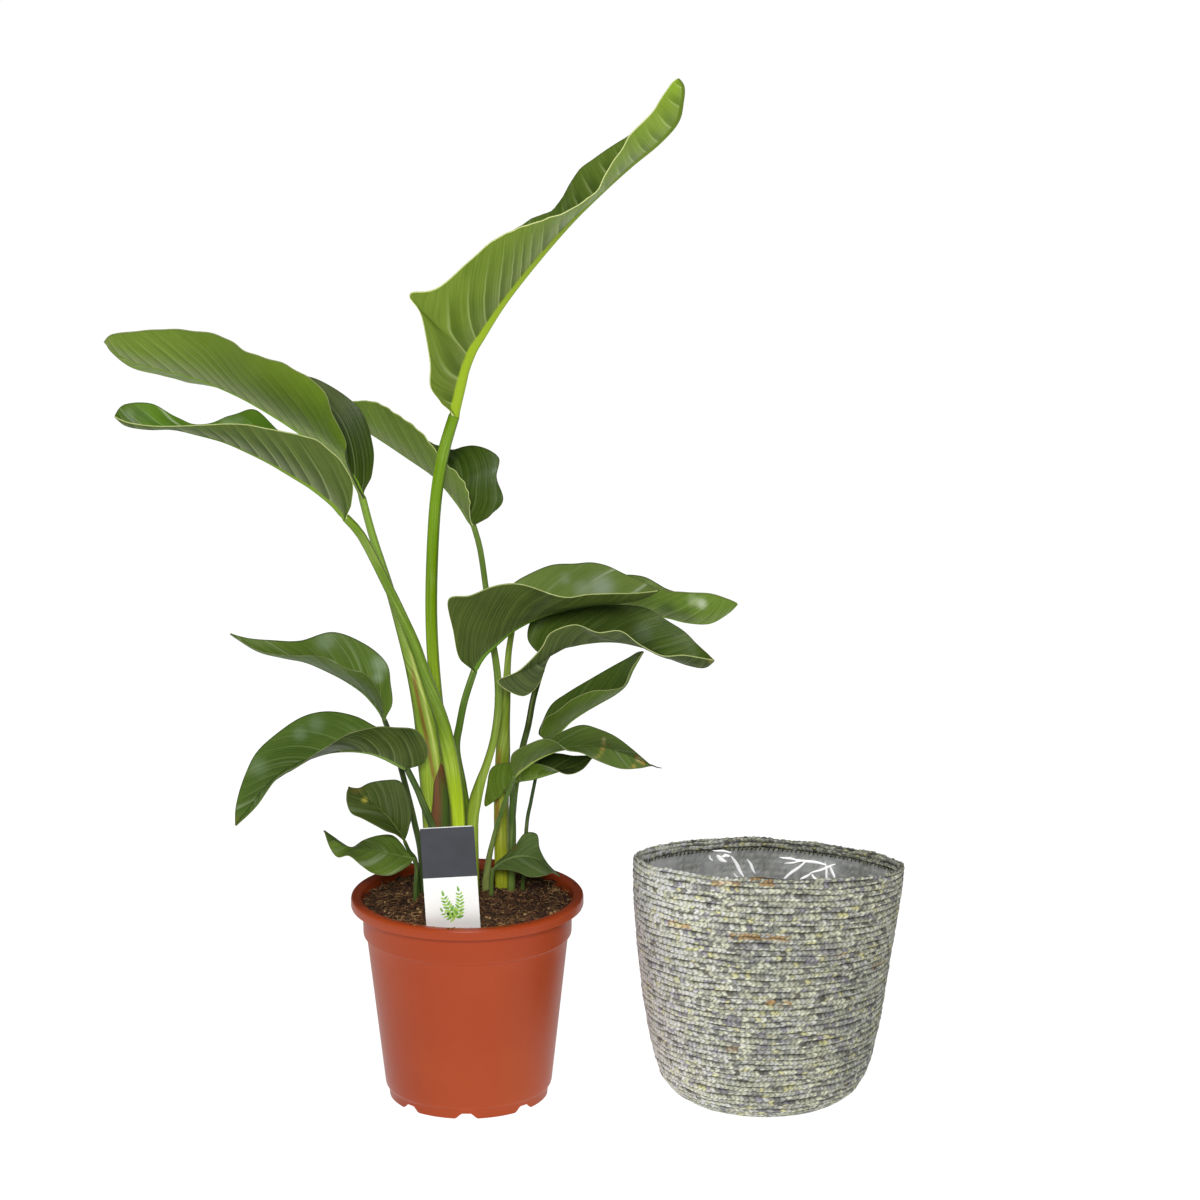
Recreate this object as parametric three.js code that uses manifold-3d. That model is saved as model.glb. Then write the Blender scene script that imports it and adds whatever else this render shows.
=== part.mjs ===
// Potted bird of paradise: fifteen leaves in a round nursery pot with its label,
// and the soft lined basket that stands beside it. Millimetres, +Z up, the front faces -Y.
// Everything is placed from the pot's axis at floor level, and moved as one at the end.

import * as THREE from 'three';
import { mergeVertices } from 'three/addons/utils/BufferGeometryUtils.js';
import Module from 'manifold-3d';

const wasm = await Module();
wasm.setup();
const { Manifold, Mesh: SolidMesh } = wasm;

// Space left between two pieces that touch.
const FIT_GAP = 0.3;

// Where a person standing in front has their eye. Leaf points below are written as
// [x, z, y]: the place where that person sees the point against the upright plane
// through the pot's axis, and how far behind that plane the point really is.
const EYE = new THREE.Vector3(97, -2718, 1045);

// Pot
const POT_HEIGHT = 153;
const POT_RIM_RADIUS = 85;
const POT_RIM_INNER_RADIUS = 77;
const POT_RIM_DROP = 7.5;
const POT_COLLAR_RADIUS = 76.6;
const POT_STEP_HEIGHT = 123;
const POT_UPPER_WALL_RADIUS = 73.8;
const POT_LOWER_WALL_RADIUS = 61.4;
const POT_FOOT_RADIUS = 58.5;
const POT_FOOT_HEIGHT = 7;
const POT_WALL = 1.6;
const POT_FLOOR = 2.4;
const POT_SIDES = 44;
const POT_NOTCHES = 8;
const POT_NOTCH_WIDTH_LOW = 16;
const POT_NOTCH_WIDTH_HIGH = 7;
const POT_NOTCH_HEIGHT = 6;
const DRAIN_HOLES = 6;
const DRAIN_RADIUS = 5;
const DRAIN_RING_RADIUS = 36;

// Soil
const SOIL_EDGE_HEIGHT = 146.5;
const SOIL_MIDDLE_HEIGHT = 150;
const STEM_FOOT_HEIGHT = 118;

// Label
const LABEL_WIDTH = 38.6;
const LABEL_THICKNESS = 0.8;
const LABEL_TOP = 224;
const LABEL_BOTTOM = 122;
const LABEL_Y = -66;
const LABEL_TOP_X = -11.9;
const LABEL_LEAN_DEG = 3.2;

// Basket
const BASKET_X = 217.2;
const BASKET_HEIGHT = 180;
// How much higher the rim is at its left end than in the middle.
const BASKET_LEAN = 3.6;
// The mouth is pressed oval: 2 is a plain ellipse, more is fuller, less more pointed.
const MOUTH_FRONT = 2.3;
const MOUTH_BACK = 1.5;
const BASKET_WALL = 5;
const BASKET_FLOOR = 5;
const BASKET_SIDES = 36;
const LINER_THICKNESS = 0.8;
const LINER_GAP = 1.2;
const LINER_DROP = 6;
// Height, half width, half depth and how far the middle has moved to the right.
const BASKET_LEVELS = [
  [0, 51.5, 51.5, 0], [3, 62.5, 62, 0], [9, 70.5, 70, 0], [18, 76.4, 75.5, 0], [34, 81, 79, 0],
  [55, 85.5, 80.5, 0], [80, 89.4, 80, 0], [105, 92.3, 77, 0.2], [130, 95.2, 71, 0.8],
  [150, 97.4, 63.5, 1.6], [166, 98.5, 56.5, 2.4], [BASKET_HEIGHT, 98.9, 52, 3.1],
];

// Leaves
const BLADE_THICKNESS = 0.9;
const RIB_TIP_DEPTH = 0.9;
// Distance of each column of a wing from the midrib, 1 at the margin.
const COLUMNS = { 2: [1, 0.5], 3: [1, 0.62, 0.25] };

const deg = THREE.MathUtils.degToRad;

// The real place of a point written the way a person in front sees it.
function placed(x, z, y) {
  const away = 1 - y / EYE.y;
  return new THREE.Vector3(EYE.x + (x - EYE.x) * away, y, EYE.z + (z - EYE.z) * away);
}

// A row of a blade: midrib, far margin, near margin, each [x, z, y].
// A row of a stem: [x, z, y, half width, half depth], from the ground up.
// `to` is 1 when the leaf reaches to the right and -1 when it reaches to the left.
const LEAVES = {
  leaf_tall: {
    to: 1, bulge: 0.1, steps: 17, across: 3,
    stem: [
      [-14.6, 205, 15, 5, 5], [-16.4, 250, 15, 5, 4.9], [-20.4, 290, 14, 4.9, 4.7],
      [-23.6, 330, 13, 4.9, 4.5], [-24.6, 370, 11, 4.8, 4.5], [-23, 415, 9, 4.8, 4.5],
      [-20.2, 450, 8, 4.8, 4.5], [-15, 481, 8, 4.8, 4.6],
    ],
    blade: [
      [-7, 508, 8, -6, 509, 11, -11.4, 511, 5],
      [-4.5, 518, 8, -8, 519, 20, -17, 519.5, -4],
      [-1.6, 530, 8, -13, 532, 30, -23.4, 530, -12],
      [1, 541, 8, -18, 552, 40, -23.4, 549, -18],
      [4.4, 550, 8, -20, 575, 48, -29, 580, -24],
      [7.5, 556.5, 8.6, -14, 590, 50, -36.9, 595.6, -28],
      [11.8, 563.5, 9, -4, 601, 52, -16.5, 600.5, -31],
      [28.5, 590, 10, 20, 628, 52, 20, 632, -42],
      [52, 620, 11, 46, 647, 50, 43, 643.5, -46],
      [76, 647.5, 12, 66, 657, 48, 66, 651, -46],
      [98, 669, 13, 80, 680, 46, 90, 664, -44],
      [118, 687, 14, 98, 695, 42, 104, 685, -36],
      [137, 702.5, 14, 118, 708, 34, 117, 706, -26],
      [150, 717, 14, 134, 724, 26, 132, 722, -14],
      [153.6, 731, 14, 143, 737, 19, 140, 734, -2],
      [154.4, 741, 13.5, 149, 744.4, 15, 146.5, 743.4, 8],
      [151, 746.5, 13, 150, 746.5, 14, 150, 746.5, 12],
    ],
  },
  leaf_upper_left: {
    to: -1, bulge: 0.1, steps: 15, across: 3,
    stem: [
      [-21, 165, 1, 8, 6], [-22.5, 205, 1, 9.5, 6], [-24.5, 235, 1, 9.2, 6],
      [-26.2, 258, 2, 9.6, 5.8], [-28.4, 280, 3, 8.7, 5.4], [-31.8, 300, 4, 7.6, 5],
      [-36.5, 320, 6, 6.2, 4.5], [-42.5, 340, 8, 4.4, 4.1], [-53, 380, 12, 3.7, 3.7],
      [-65, 420, 15, 3.2, 3.2],
    ],
    blade: [
      [-72, 448, 16, -70, 450, 19, -76, 451, 13],
      [-77, 461, 16, -65, 468, 29, -84, 477, 2],
      [-86, 472, 17, -64.5, 487, 34, -83.5, 490, -9],
      [-98, 483.5, 18, -74, 514, 38, -92, 508, -19],
      [-115, 496, 20, -104, 535, 44, -101, 529, -24],
      [-137, 510.5, 22, -134, 537, 50, -124, 544.5, -23],
      [-160, 523.5, 24, -162, 532, 54, -150, 553.5, -17],
      [-185, 534, 26, -190, 532, 56, -172, 566, -8],
      [-210, 541, 28, -213, 537.5, 50, -202, 570.5, 2],
      [-232, 547, 29, -234, 543, 38, -230, 569, 12],
      [-246, 555, 30, -248, 554, 33, -247, 567, 22],
      [-253, 562, 30, -252.6, 562, 31, -252.6, 562.6, 29],
    ],
  },
  leaf_lower_left: {
    to: -1, bulge: 0.1, steps: 16, across: 3,
    stem: [
      [-5, 165, -12, 5.4, 4.8], [-5.5, 205, -12, 5.6, 5], [-8, 235, -12, 6, 5],
      [-12.8, 265, -12, 6.2, 5], [-18, 288, -12, 5.3, 4.8], [-29, 320, -13, 4.4, 4.3],
      [-35.5, 340, -14, 4.2, 4.1], [-44, 360, -16, 4, 3.9], [-53, 380, -18, 3.8, 3.8],
      [-72, 419, -25, 3.5, 3.5],
    ],
    blade: [
      [-84, 434, -28, -82, 436, -25, -82, 435, -30],
      [-88, 439, -29, -80, 447, -15, -80, 446, -40],
      [-93, 444.5, -30, -80, 460, -8, -79, 458, -48],
      [-100, 450.5, -31, -86, 473, -2, -83, 469, -54],
      [-110, 458, -32, -98, 485, 2, -91, 480, -58],
      [-123, 466, -33, -114, 492, 5, -104, 490.5, -62],
      [-138, 475, -34, -131, 497.5, 8, -121, 495.5, -62],
      [-154, 483, -35, -148, 512.5, 8, -140, 499.5, -60],
      [-170, 490, -36, -166, 508, 3, -160, 502.5, -56],
      [-188, 495, -37, -186, 501.5, -4, -181, 502, -52],
      [-206, 499, -38, -203, 507, -10, -201, 501, -48],
      [-224, 499, -39, -221, 517, -18, -220, 501, -46],
      [-239, 501.5, -40, -240, 516.5, -28, -237, 503.5, -44],
      [-247, 508, -40, -247, 509, -39, -247, 507.5, -41],
    ],
  },
  leaf_behind: {
    to: -1, bulge: 0.08, steps: 14, across: 3,
    stem: [
      [4.5, 165, 0, 5.4, 5], [4.5, 205, 1, 5, 4.8], [6.5, 222, 2, 5.2, 4.6],
      [11, 239, 4, 3.9, 3.8], [14.8, 250, 6, 3.3, 3.3], [20.5, 270, 8, 3.1, 3.1],
      [23.8, 295, 11, 3.1, 3.1], [23.2, 320, 14, 2.9, 2.9], [19, 350, 17, 2.7, 2.7],
      [15.3, 383, 18, 2.4, 2.4], [11.5, 411, 19, 2.4, 2.4],
    ],
    blade: [
      [7, 428, 20, 10, 427, 23, 4, 431, 18],
      [3, 434, 23, 20, 437, 34, 4, 440, 14],
      [-2, 442, 27, 28, 447, 40, 4, 448, 12],
      [-8, 450, 31, 23.4, 464, 46, 2, 456, 12],
      [-13, 456, 34, 24.8, 478.5, 50, -1, 462, 13.5],
      [-18, 462, 36.5, 8, 487, 57, -7, 469, 16],
      [-25, 468, 39, -8, 484, 66, -14, 475, 18],
      [-38, 477, 46, -28, 491, 71, -28, 494, 22],
      [-54, 488, 53, -50, 502, 76, -46, 509, 32],
      [-72, 500, 61, -70, 511, 80, -66, 519, 47],
      [-95, 516, 70, -94, 516, 71, -94, 516.6, 69],
    ],
  },
  leaf_front_right: {
    to: 1, bulge: 0.12, steps: 16, across: 3,
    stem: [
      [1, 165, 13, 4, 4], [0, 205, 13, 4, 3.8], [-3.5, 235, 11, 3.8, 3.6],
      [-7.5, 262, 6, 3.3, 3.3], [-4.8, 281, -1, 3, 3], [-0.8, 300, -8, 2.9, 2.9],
    ],
    blade: [
      [6, 321, -13, 8, 323, -10, 3, 322, -15],
      [8, 325, -13.5, 10, 331, -4, -5, 332, -22],
      [11, 329.5, -14, 10, 340, 3, -8.5, 350, -28],
      [15, 334.5, -14, 9, 352, 8, -12, 374, -33],
      [23, 342, -14, 14, 366, 10, 3, 377, -39],
      [33, 350.5, -14, 26, 378, 13, 18, 383, -44],
      [46, 358, -15, 40, 389.5, 22, 34, 386, -48],
      [60, 363.5, -16, 60, 398.5, 28, 53, 382, -51],
      [76, 367.5, -18, 80, 401, 30, 70, 375.5, -53],
      [94, 370.5, -21, 98, 400, 27, 88, 378, -51],
      [112, 372, -24, 115, 393, 17, 107, 378.5, -47],
      [128, 375.5, -28, 130, 386, -2, 124, 379, -41],
      [139, 381, -32, 138.6, 381.6, -31, 138.4, 380.6, -33],
    ],
  },
  leaf_back_right: {
    to: 1, bulge: 0.1, steps: 12, across: 3,
    stem: [
      [25, 165, 24, 6, 5.4], [24.5, 205, 24, 6, 5.4], [25, 235, 24, 6.2, 5.4],
      [26, 258, 24.5, 6, 5.2], [27, 280, 25.5, 5, 4.6], [28.5, 300, 27, 4, 4],
      [29.7, 318, 29, 3, 3], [31, 335, 32, 2.6, 2.6],
    ],
    blade: [
      [34, 354, 37, 33, 355, 40, 33, 356, 34],
      [42, 360, 43, 39, 365, 54, 38, 367, 37],
      [55, 364, 49, 50, 373, 66, 48, 377, 38],
      [72, 367, 54, 66, 382, 76, 66, 386, 40],
      [92, 368, 57, 88, 389, 82, 88, 391, 42],
      [112, 367, 58, 108, 392, 82, 108, 391, 42],
      [130, 364, 56, 128, 391, 78, 127, 386, 40],
      [146, 361, 52, 146, 381.5, 72, 143, 381, 36],
      [160, 357.5, 48, 162, 377, 64, 158, 379.5, 32],
      [176, 357, 44, 179, 371, 54, 176, 378.5, 32],
      [189, 364.5, 41, 190, 370, 45, 189, 374.5, 36],
      [195.5, 371, 40, 195.2, 371, 41, 195.2, 371.6, 39],
    ],
  },
  leaf_low_right: {
    to: 1, bulge: 0.1, steps: 17, across: 3,
    stem: [
      [28, 165, 34, 3.6, 3.6], [31.5, 200, 34, 3.4, 3.4], [34.5, 230, 33, 3, 3],
      [38, 250, 30, 2.8, 2.8], [41, 265, 26, 2.6, 2.6], [44.8, 280, 19, 2.6, 2.6],
      [48.5, 300, 10, 2.5, 2.5], [53.5, 318, 2, 2.4, 2.4],
    ],
    blade: [
      [58, 332, -4, 56, 333, -1, 57, 329, -6],
      [60, 334, -4, 51, 336, 7, 54, 313, -12],
      [63, 336, -5, 45, 345, 13, 41, 302, -14],
      [67, 337.5, -5, 47, 357, 17, 23, 313, -13],
      [72, 339.5, -6, 56, 363, 20, 39, 322, -17],
      [79, 341, -7, 70, 367, 24, 54, 337, -24],
      [88, 342.5, -8, 84, 369, 27, 62, 350, -32],
      [99, 343.5, -10, 98, 370, 28, 78, 355.5, -38],
      [111, 343, -12, 112, 370, 27, 95, 350, -42],
      [123, 340.5, -15, 128, 368.5, 22, 112, 350.5, -42],
      [135, 336.5, -18, 143, 360, 12, 127, 340, -42],
      [147, 331, -21, 157, 351, 2, 142, 332.5, -40],
      [160, 326, -24, 167, 341, -8, 157, 333, -36],
      [172, 324, -27, 174, 334.5, -19, 170, 331, -32],
      [179, 329, -28, 178.6, 329.6, -27.6, 178.4, 329.4, -28.6],
    ],
  },
  leaf_slim_right: {
    to: 1, bulge: 0.14, steps: 11, across: 2,
    stem: [
      [40.5, 160, 20, 1.8, 1.8], [43.5, 205, 22, 1.6, 1.6], [46.5, 222, 24, 1.5, 1.5],
      [50, 240, 26, 1.4, 1.4], [53, 256, 26, 1.4, 1.4],
    ],
    blade: [
      [56, 269, 24, 54.5, 270, 26, 57, 268, 22.5],
      [62, 271, 24, 52.5, 275, 32, 54, 274, 16],
      [68, 276, 23, 55, 282, 38, 57, 285, 10],
      [76, 284, 22, 62, 296, 42, 66, 291, 6],
      [86, 291, 21, 74, 305, 42, 77, 300, 3],
      [97, 297.5, 20, 90, 315, 40, 91, 306, 2],
      [108, 304, 18, 106, 324.5, 35, 104, 307, 4],
      [115.6, 311, 16, 117.5, 331, 26, 114, 310, 9],
      [120.8, 322.5, 15, 124, 335, 20, 119.5, 322.5, 12],
      [128, 335.5, 14, 128, 335.8, 14.6, 127.8, 335, 13.4],
    ],
  },
  leaf_spotted: {
    to: 1, bulge: 0.1, steps: 13, across: 2,
    stem: [
      [13.5, 162, 15, 3.6, 3.2], [15.5, 178, 12, 2.6, 2.4], [18.5, 192, 8, 2, 2],
      [22, 205, 3, 1.8, 1.8], [27.5, 222, -7, 1.7, 1.7],
    ],
    blade: [
      [34.5, 241.5, -17, 36, 242, -15, 33.5, 243, -19],
      [38, 245.5, -18, 38, 252, -9, 32, 251, -26],
      [43, 249.5, -19, 42, 259, -4, 34, 259.5, -32],
      [50, 254.5, -20, 52, 265, 0, 45, 266, -37],
      [58, 258.5, -21, 62, 270, 3, 56, 270, -39],
      [66, 261.5, -22, 71, 276, 5, 65, 268, -42],
      [76, 263.5, -23, 84, 280.5, 5, 73, 262, -45],
      [88, 264.5, -24, 96, 277.5, 3, 84, 259.5, -46],
      [101, 263.5, -25, 108, 272, -2, 97, 253, -45],
      [115, 259, -26, 119, 263.5, -10, 112, 247.8, -42],
      [126, 254, -27, 128, 255.5, -20, 125, 248, -35],
      [134, 250, -28, 133.8, 250.4, -27.6, 133.6, 249.8, -28.4],
    ],
  },
  leaf_wrapping: {
    to: 1, bulge: 0.1, steps: 12, across: 2,
    stem: [
      [32, 162, 16, 3.2, 3.2], [33, 200, 16, 3, 3], [33, 222, 13, 2.4, 2.4],
    ],
    blade: [
      [33, 237.5, 9, 34, 239, 11, 30, 236, 8],
      [36, 238.5, 8, 39, 244, 15, 14, 219, 12],
      [41, 239.5, 7, 46, 250, 18, 15, 235, 13],
      [47, 240.5, 6, 54, 255, 20, 19, 249, 13],
      [53, 242, 5, 62, 259, 20, 33, 252.5, 6],
      [60, 244, 4, 69, 259, 18, 48, 252, -5],
      [68, 246.5, 3, 77, 257.5, 14, 60, 249, -12],
      [77, 249, 2, 84, 257.5, 9, 73, 243.5, -13],
      [85, 253, 2, 89, 257.5, 5, 84, 247, -6],
      [92, 256.5, 2, 91.8, 256.8, 2.4, 91.6, 256.2, 1.6],
    ],
  },
  leaf_left: {
    to: -1, bulge: 0.1, steps: 12, across: 2,
    stem: [
      [-32, 165, 11, 2.7, 2.7], [-34, 188, 10.5, 2.6, 2.6], [-37.4, 205, 9.5, 2.5, 2.5],
      [-40.5, 220, 8, 2.4, 2.4], [-47.7, 250, 6, 2.3, 2.3], [-53, 268, 6, 2.2, 2.2],
    ],
    blade: [
      [-58.5, 284, 7, -57, 285, 9, -60, 285, 5],
      [-61, 290, 9, -53, 297, 21, -60.5, 297, -1],
      [-66, 297, 10, -54, 311, 29, -64, 308, -7],
      [-74, 305.5, 12, -57, 327, 33, -72.5, 319, -11],
      [-86, 314, 14, -72, 341, 35, -86, 323, -12],
      [-100, 321.5, 16, -95, 350, 34, -102, 331.5, -9],
      [-115, 328, 18, -119, 343.5, 31, -117, 332.5, -3],
      [-132, 331.5, 20, -140, 344, 28, -136, 333.5, 7],
      [-150, 336.5, 22, -156, 345.5, 26, -151, 337.5, 16],
      [-169, 349, 24, -168.6, 348.8, 24.5, -168.6, 348.4, 23.5],
    ],
  },
  leaf_drooping: {
    to: -1, bulge: 0.12, steps: 15, across: 3,
    stem: [
      [-19, 165, -13, 3.2, 2.8], [-21, 190, -14, 3.1, 2.7], [-25.5, 206, -14, 3, 2.7],
      [-31, 220, -15, 2.8, 2.6], [-35.5, 232, -16, 2.6, 2.5],
    ],
    blade: [
      [-43, 248, -17, -41.5, 250, -14.5, -40, 247, -19],
      [-47, 250, -18, -40, 258, -11, -30, 253, -24],
      [-52, 252.5, -19, -42, 267, -7, -28, 264, -28],
      [-60, 256.5, -20, -50, 274, -4, -36, 277, -32],
      [-70, 260, -21, -64, 279, 0, -52, 278.5, -38],
      [-84, 261.5, -22, -80, 287, 7, -68, 279, -44],
      [-100, 260, -24, -103, 291, 13, -86, 273, -50],
      [-116, 254.5, -26, -125, 282.5, 13, -105, 262, -50],
      [-131, 247, -28, -147.5, 265, 8, -120, 251, -46],
      [-145, 235, -30, -160.5, 243, -2, -137, 241, -42],
      [-158, 218, -31, -167.5, 220, -20, -153, 219, -38],
      [-168.5, 204.5, -32, -168.5, 205, -31, -168, 204.3, -33],
    ],
  },
  leaf_ragged: {
    to: -1, bulge: -0.04, steps: 11, across: 2,
    stem: [
      [-36, 162, 4, 1.8, 1.8], [-37.5, 178, 5, 1.7, 1.7], [-42, 185, 1.5, 1.6, 1.6],
    ],
    blade: [
      [-45, 192, -4, -44, 192.5, -5, -46, 192.5, -5],
      [-47, 196, -6, -42, 203, -10, -52, 198, -12],
      [-50, 201, -5, -40, 213, -12, -59, 200.5, -16],
      [-54, 207, -5, -42, 227, -13, -67, 205, -19],
      [-59, 213, -6, -48, 238, -13, -76, 210, -21],
      [-65, 219, -8, -58, 239, -14, -84, 214, -22],
      [-72, 224, -11, -70, 237, -16, -87, 222, -23],
      [-79, 229, -14, -78, 233, -18, -87, 229, -22],
      [-85.5, 233.5, -18, -85, 233.6, -18.6, -85.8, 233, -18.8],
    ],
  },
  leaf_low_left: {
    to: -1, bulge: 0.06, steps: 12, across: 2,
    stem: [
      [-38, 155, -7, 1.8, 1.8], [-36.8, 171, -7, 1.7, 1.7],
    ],
    blade: [
      [-38.5, 179, -8, -39, 181, -7, -39, 177.5, -10],
      [-44, 180, -9, -43, 184, -4.5, -42, 174.5, -16],
      [-51, 181.5, -10, -47, 190, 3, -48, 170.5, -24],
      [-59, 183.5, -12, -54, 197, 6, -57, 166.5, -30],
      [-68, 185.5, -14, -64, 197, 6, -68, 168, -34],
      [-77, 187, -16, -75, 193.5, 1, -77, 174, -36],
      [-85, 188, -18, -84, 188, -6, -86, 181.5, -32],
      [-92, 191, -19, -91, 191.5, -12, -94.5, 180.5, -28],
      [-98, 195, -20, -97, 196, -17, -100, 188, -25],
      [-104, 201, -21, -103.6, 200.8, -20.6, -103.8, 200, -21.4],
    ],
  },
  leaf_over_soil: {
    to: 1, bulge: 0.06, steps: 11, across: 2,
    stem: [
      [17.5, 150, 6, 2, 2], [17.5, 162, 5, 1.9, 1.9],
    ],
    blade: [
      [18.5, 170.5, 3, 18, 171.5, 5, 19.5, 170, 1],
      [22, 174, 2, 22, 177, 6, 24, 170.8, -4],
      [27, 177.5, 1, 28, 182, 8, 31, 170.5, -10],
      [33, 180, 0, 34.5, 188, 9, 38, 168.5, -16],
      [39, 181, -1, 42, 198.5, 12, 45, 165.5, -21],
      [45, 180.5, -2, 51, 198, 11, 52, 165.5, -23],
      [51, 178.5, -4, 53, 187, 6, 58, 167, -21],
      [57, 174.5, -6, 58.5, 176, -1, 62.5, 168.5, -15],
      [68, 166, -9, 67.6, 166.2, -8.6, 67.4, 165.8, -9.4],
    ],
  },
};

// Smooth curve through hand-placed rows of numbers, t from 0 to the last row.
function along(rows, t) {
  const last = rows.length - 1;
  const i = Math.min(Math.floor(t), last - 1);
  const w = t - i;
  const before = rows[Math.max(i - 1, 0)];
  const start = rows[i];
  const end = rows[i + 1];
  const after = rows[Math.min(i + 2, last)];
  return start.map((value, k) => {
    const leaving = (end[k] - before[k]) / 2;
    const arriving = (after[k] - value) / 2;
    const bend = 2 * (value - end[k]) + leaving + arriving;
    const sag = 3 * (end[k] - value) - 2 * leaving - arriving;
    return value + w * (leaving + w * (sag + w * bend));
  });
}

// Closes a stack of equal rings into one solid, with a fan at each end. Where no end
// points are given, the rings are curved strips and each end is closed across the strip.
function solidFromRings(rings, footPoint = null, tipPoint = null) {
  const count = rings[0].length;
  const corners = [];
  for (const ring of rings) {
    for (const p of ring) {
      corners.push(p.x, p.y, p.z);
    }
  }
  const foot = corners.length / 3;
  const top = (rings.length - 1) * count;
  const faces = [];
  if (footPoint) {
    corners.push(footPoint.x, footPoint.y, footPoint.z);
    corners.push(tipPoint.x, tipPoint.y, tipPoint.z);
  } else {
    for (let k = 0; k + 1 < count / 2; k += 1) {
      const across = count - 1 - k;
      faces.push(k, across, across - 1, k, across - 1, k + 1);
      faces.push(top + k, top + across - 1, top + across);
      faces.push(top + k, top + k + 1, top + across - 1);
    }
  }
  for (let k = 0; k < count; k += 1) {
    const next = (k + 1) % count;
    if (footPoint) {
      faces.push(foot, next, k);
      faces.push(foot + 1, top + k, top + next);
    }
    for (let i = 0; i + 1 < rings.length; i += 1) {
      const low = i * count;
      const high = low + count;
      // Both faces of a blade are split along the same diagonal.
      const mirrored = k < count / 2;
      if (mirrored) {
        faces.push(low + k, low + next, high + next);
        faces.push(low + k, high + next, high + k);
      } else {
        faces.push(low + k, low + next, high + k);
        faces.push(low + next, high + next, high + k);
      }
    }
  }
  const forward = new SolidMesh({
    numProp: 3,
    vertProperties: new Float32Array(corners),
    triVerts: new Uint32Array(faces),
  });
  const solid = new Manifold(forward);
  if (solid.volume() > 0) {
    return solid;
  }
  const flipped = [];
  for (let f = 0; f < faces.length; f += 3) {
    flipped.push(faces[f], faces[f + 2], faces[f + 1]);
  }
  return new Manifold(new SolidMesh({
    numProp: 3,
    vertProperties: new Float32Array(corners),
    triVerts: new Uint32Array(flipped),
  }));
}

// A ring round a stem: the upper half runs from the far side to the near side,
// the lower half comes back.
function stemRing(centre, direction, to, halfWidth, halfDepth, count) {
  const far = new THREE.Vector3(0, 1, 0);
  far.addScaledVector(direction, -far.dot(direction)).normalize();
  const up = new THREE.Vector3().crossVectors(direction, far).multiplyScalar(to);
  const ring = [];
  for (let k = 0; k < count; k += 1) {
    const angle = (2 * Math.PI * (k + 0.5)) / count;
    ring.push(centre.clone()
      .addScaledVector(far, halfDepth * Math.cos(angle))
      .addScaledVector(up, halfWidth * Math.sin(angle)));
  }
  return ring;
}

// Rows of a stem up to the place where its blade begins.
function stemRows(leaf) {
  const [x, z, y] = leaf.blade[0];
  const top = leaf.stem[leaf.stem.length - 1];
  return [...leaf.stem, [x, z, y, top[3] * 0.94, top[4] * 0.94]];
}

function stemRings(leaf, count, grow = 0, onlyBelow = Infinity) {
  const rows = stemRows(leaf);
  const rings = [];
  const first = placed(rows[0][0], rows[0][1], rows[0][2]);
  const footZ = STEM_FOOT_HEIGHT - grow;
  const footCentre = new THREE.Vector3(first.x, first.y, footZ);
  const upright = new THREE.Vector3(0, 0, 1);
  rings.push(stemRing(footCentre, upright, leaf.to, rows[0][3] + grow, rows[0][4] + grow, count));
  for (let i = 0; i < rows.length; i += 1) {
    const here = placed(rows[i][0], rows[i][1], rows[i][2]);
    if (here.z > onlyBelow && i > 1) {
      break;
    }
    const ahead = i + 1 < rows.length ? rows[i + 1] : leaf.blade[1];
    const behind = i > 0 ? placed(...rows[i - 1].slice(0, 3)) : footCentre;
    const direction = placed(...ahead.slice(0, 3)).sub(behind).normalize();
    rings.push(stemRing(here, direction, leaf.to, rows[i][3] + grow, rows[i][4] + grow, count));
  }
  return { rings, footCentre };
}

// Points across the blade at one place along it, from the far margin to the near one.
function bladeRow(leaf, t) {
  const row = along(leaf.blade, t);
  const rib = placed(row[0], row[1], row[2]);
  const across = [];
  const shares = COLUMNS[leaf.across];
  for (const side of [1, -1]) {
    const margin = side > 0 ? placed(row[3], row[4], row[5]) : placed(row[6], row[7], row[8]);
    const width = margin.distanceTo(rib);
    const belly = new THREE.Vector3(0, 0.6 * side, -0.8).multiplyScalar(leaf.bulge * width);
    belly.addScaledVector(rib, 0.5).addScaledVector(margin, 0.5);
    const wing = shares.map((s) => new THREE.Vector3()
      .addScaledVector(rib, (1 - s) * (1 - s))
      .addScaledVector(belly, 2 * s * (1 - s))
      .addScaledVector(margin, s * s));
    if (side > 0) {
      across.push(...wing, rib);
    } else {
      across.push(...wing.reverse());
    }
  }
  return across;
}

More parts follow.
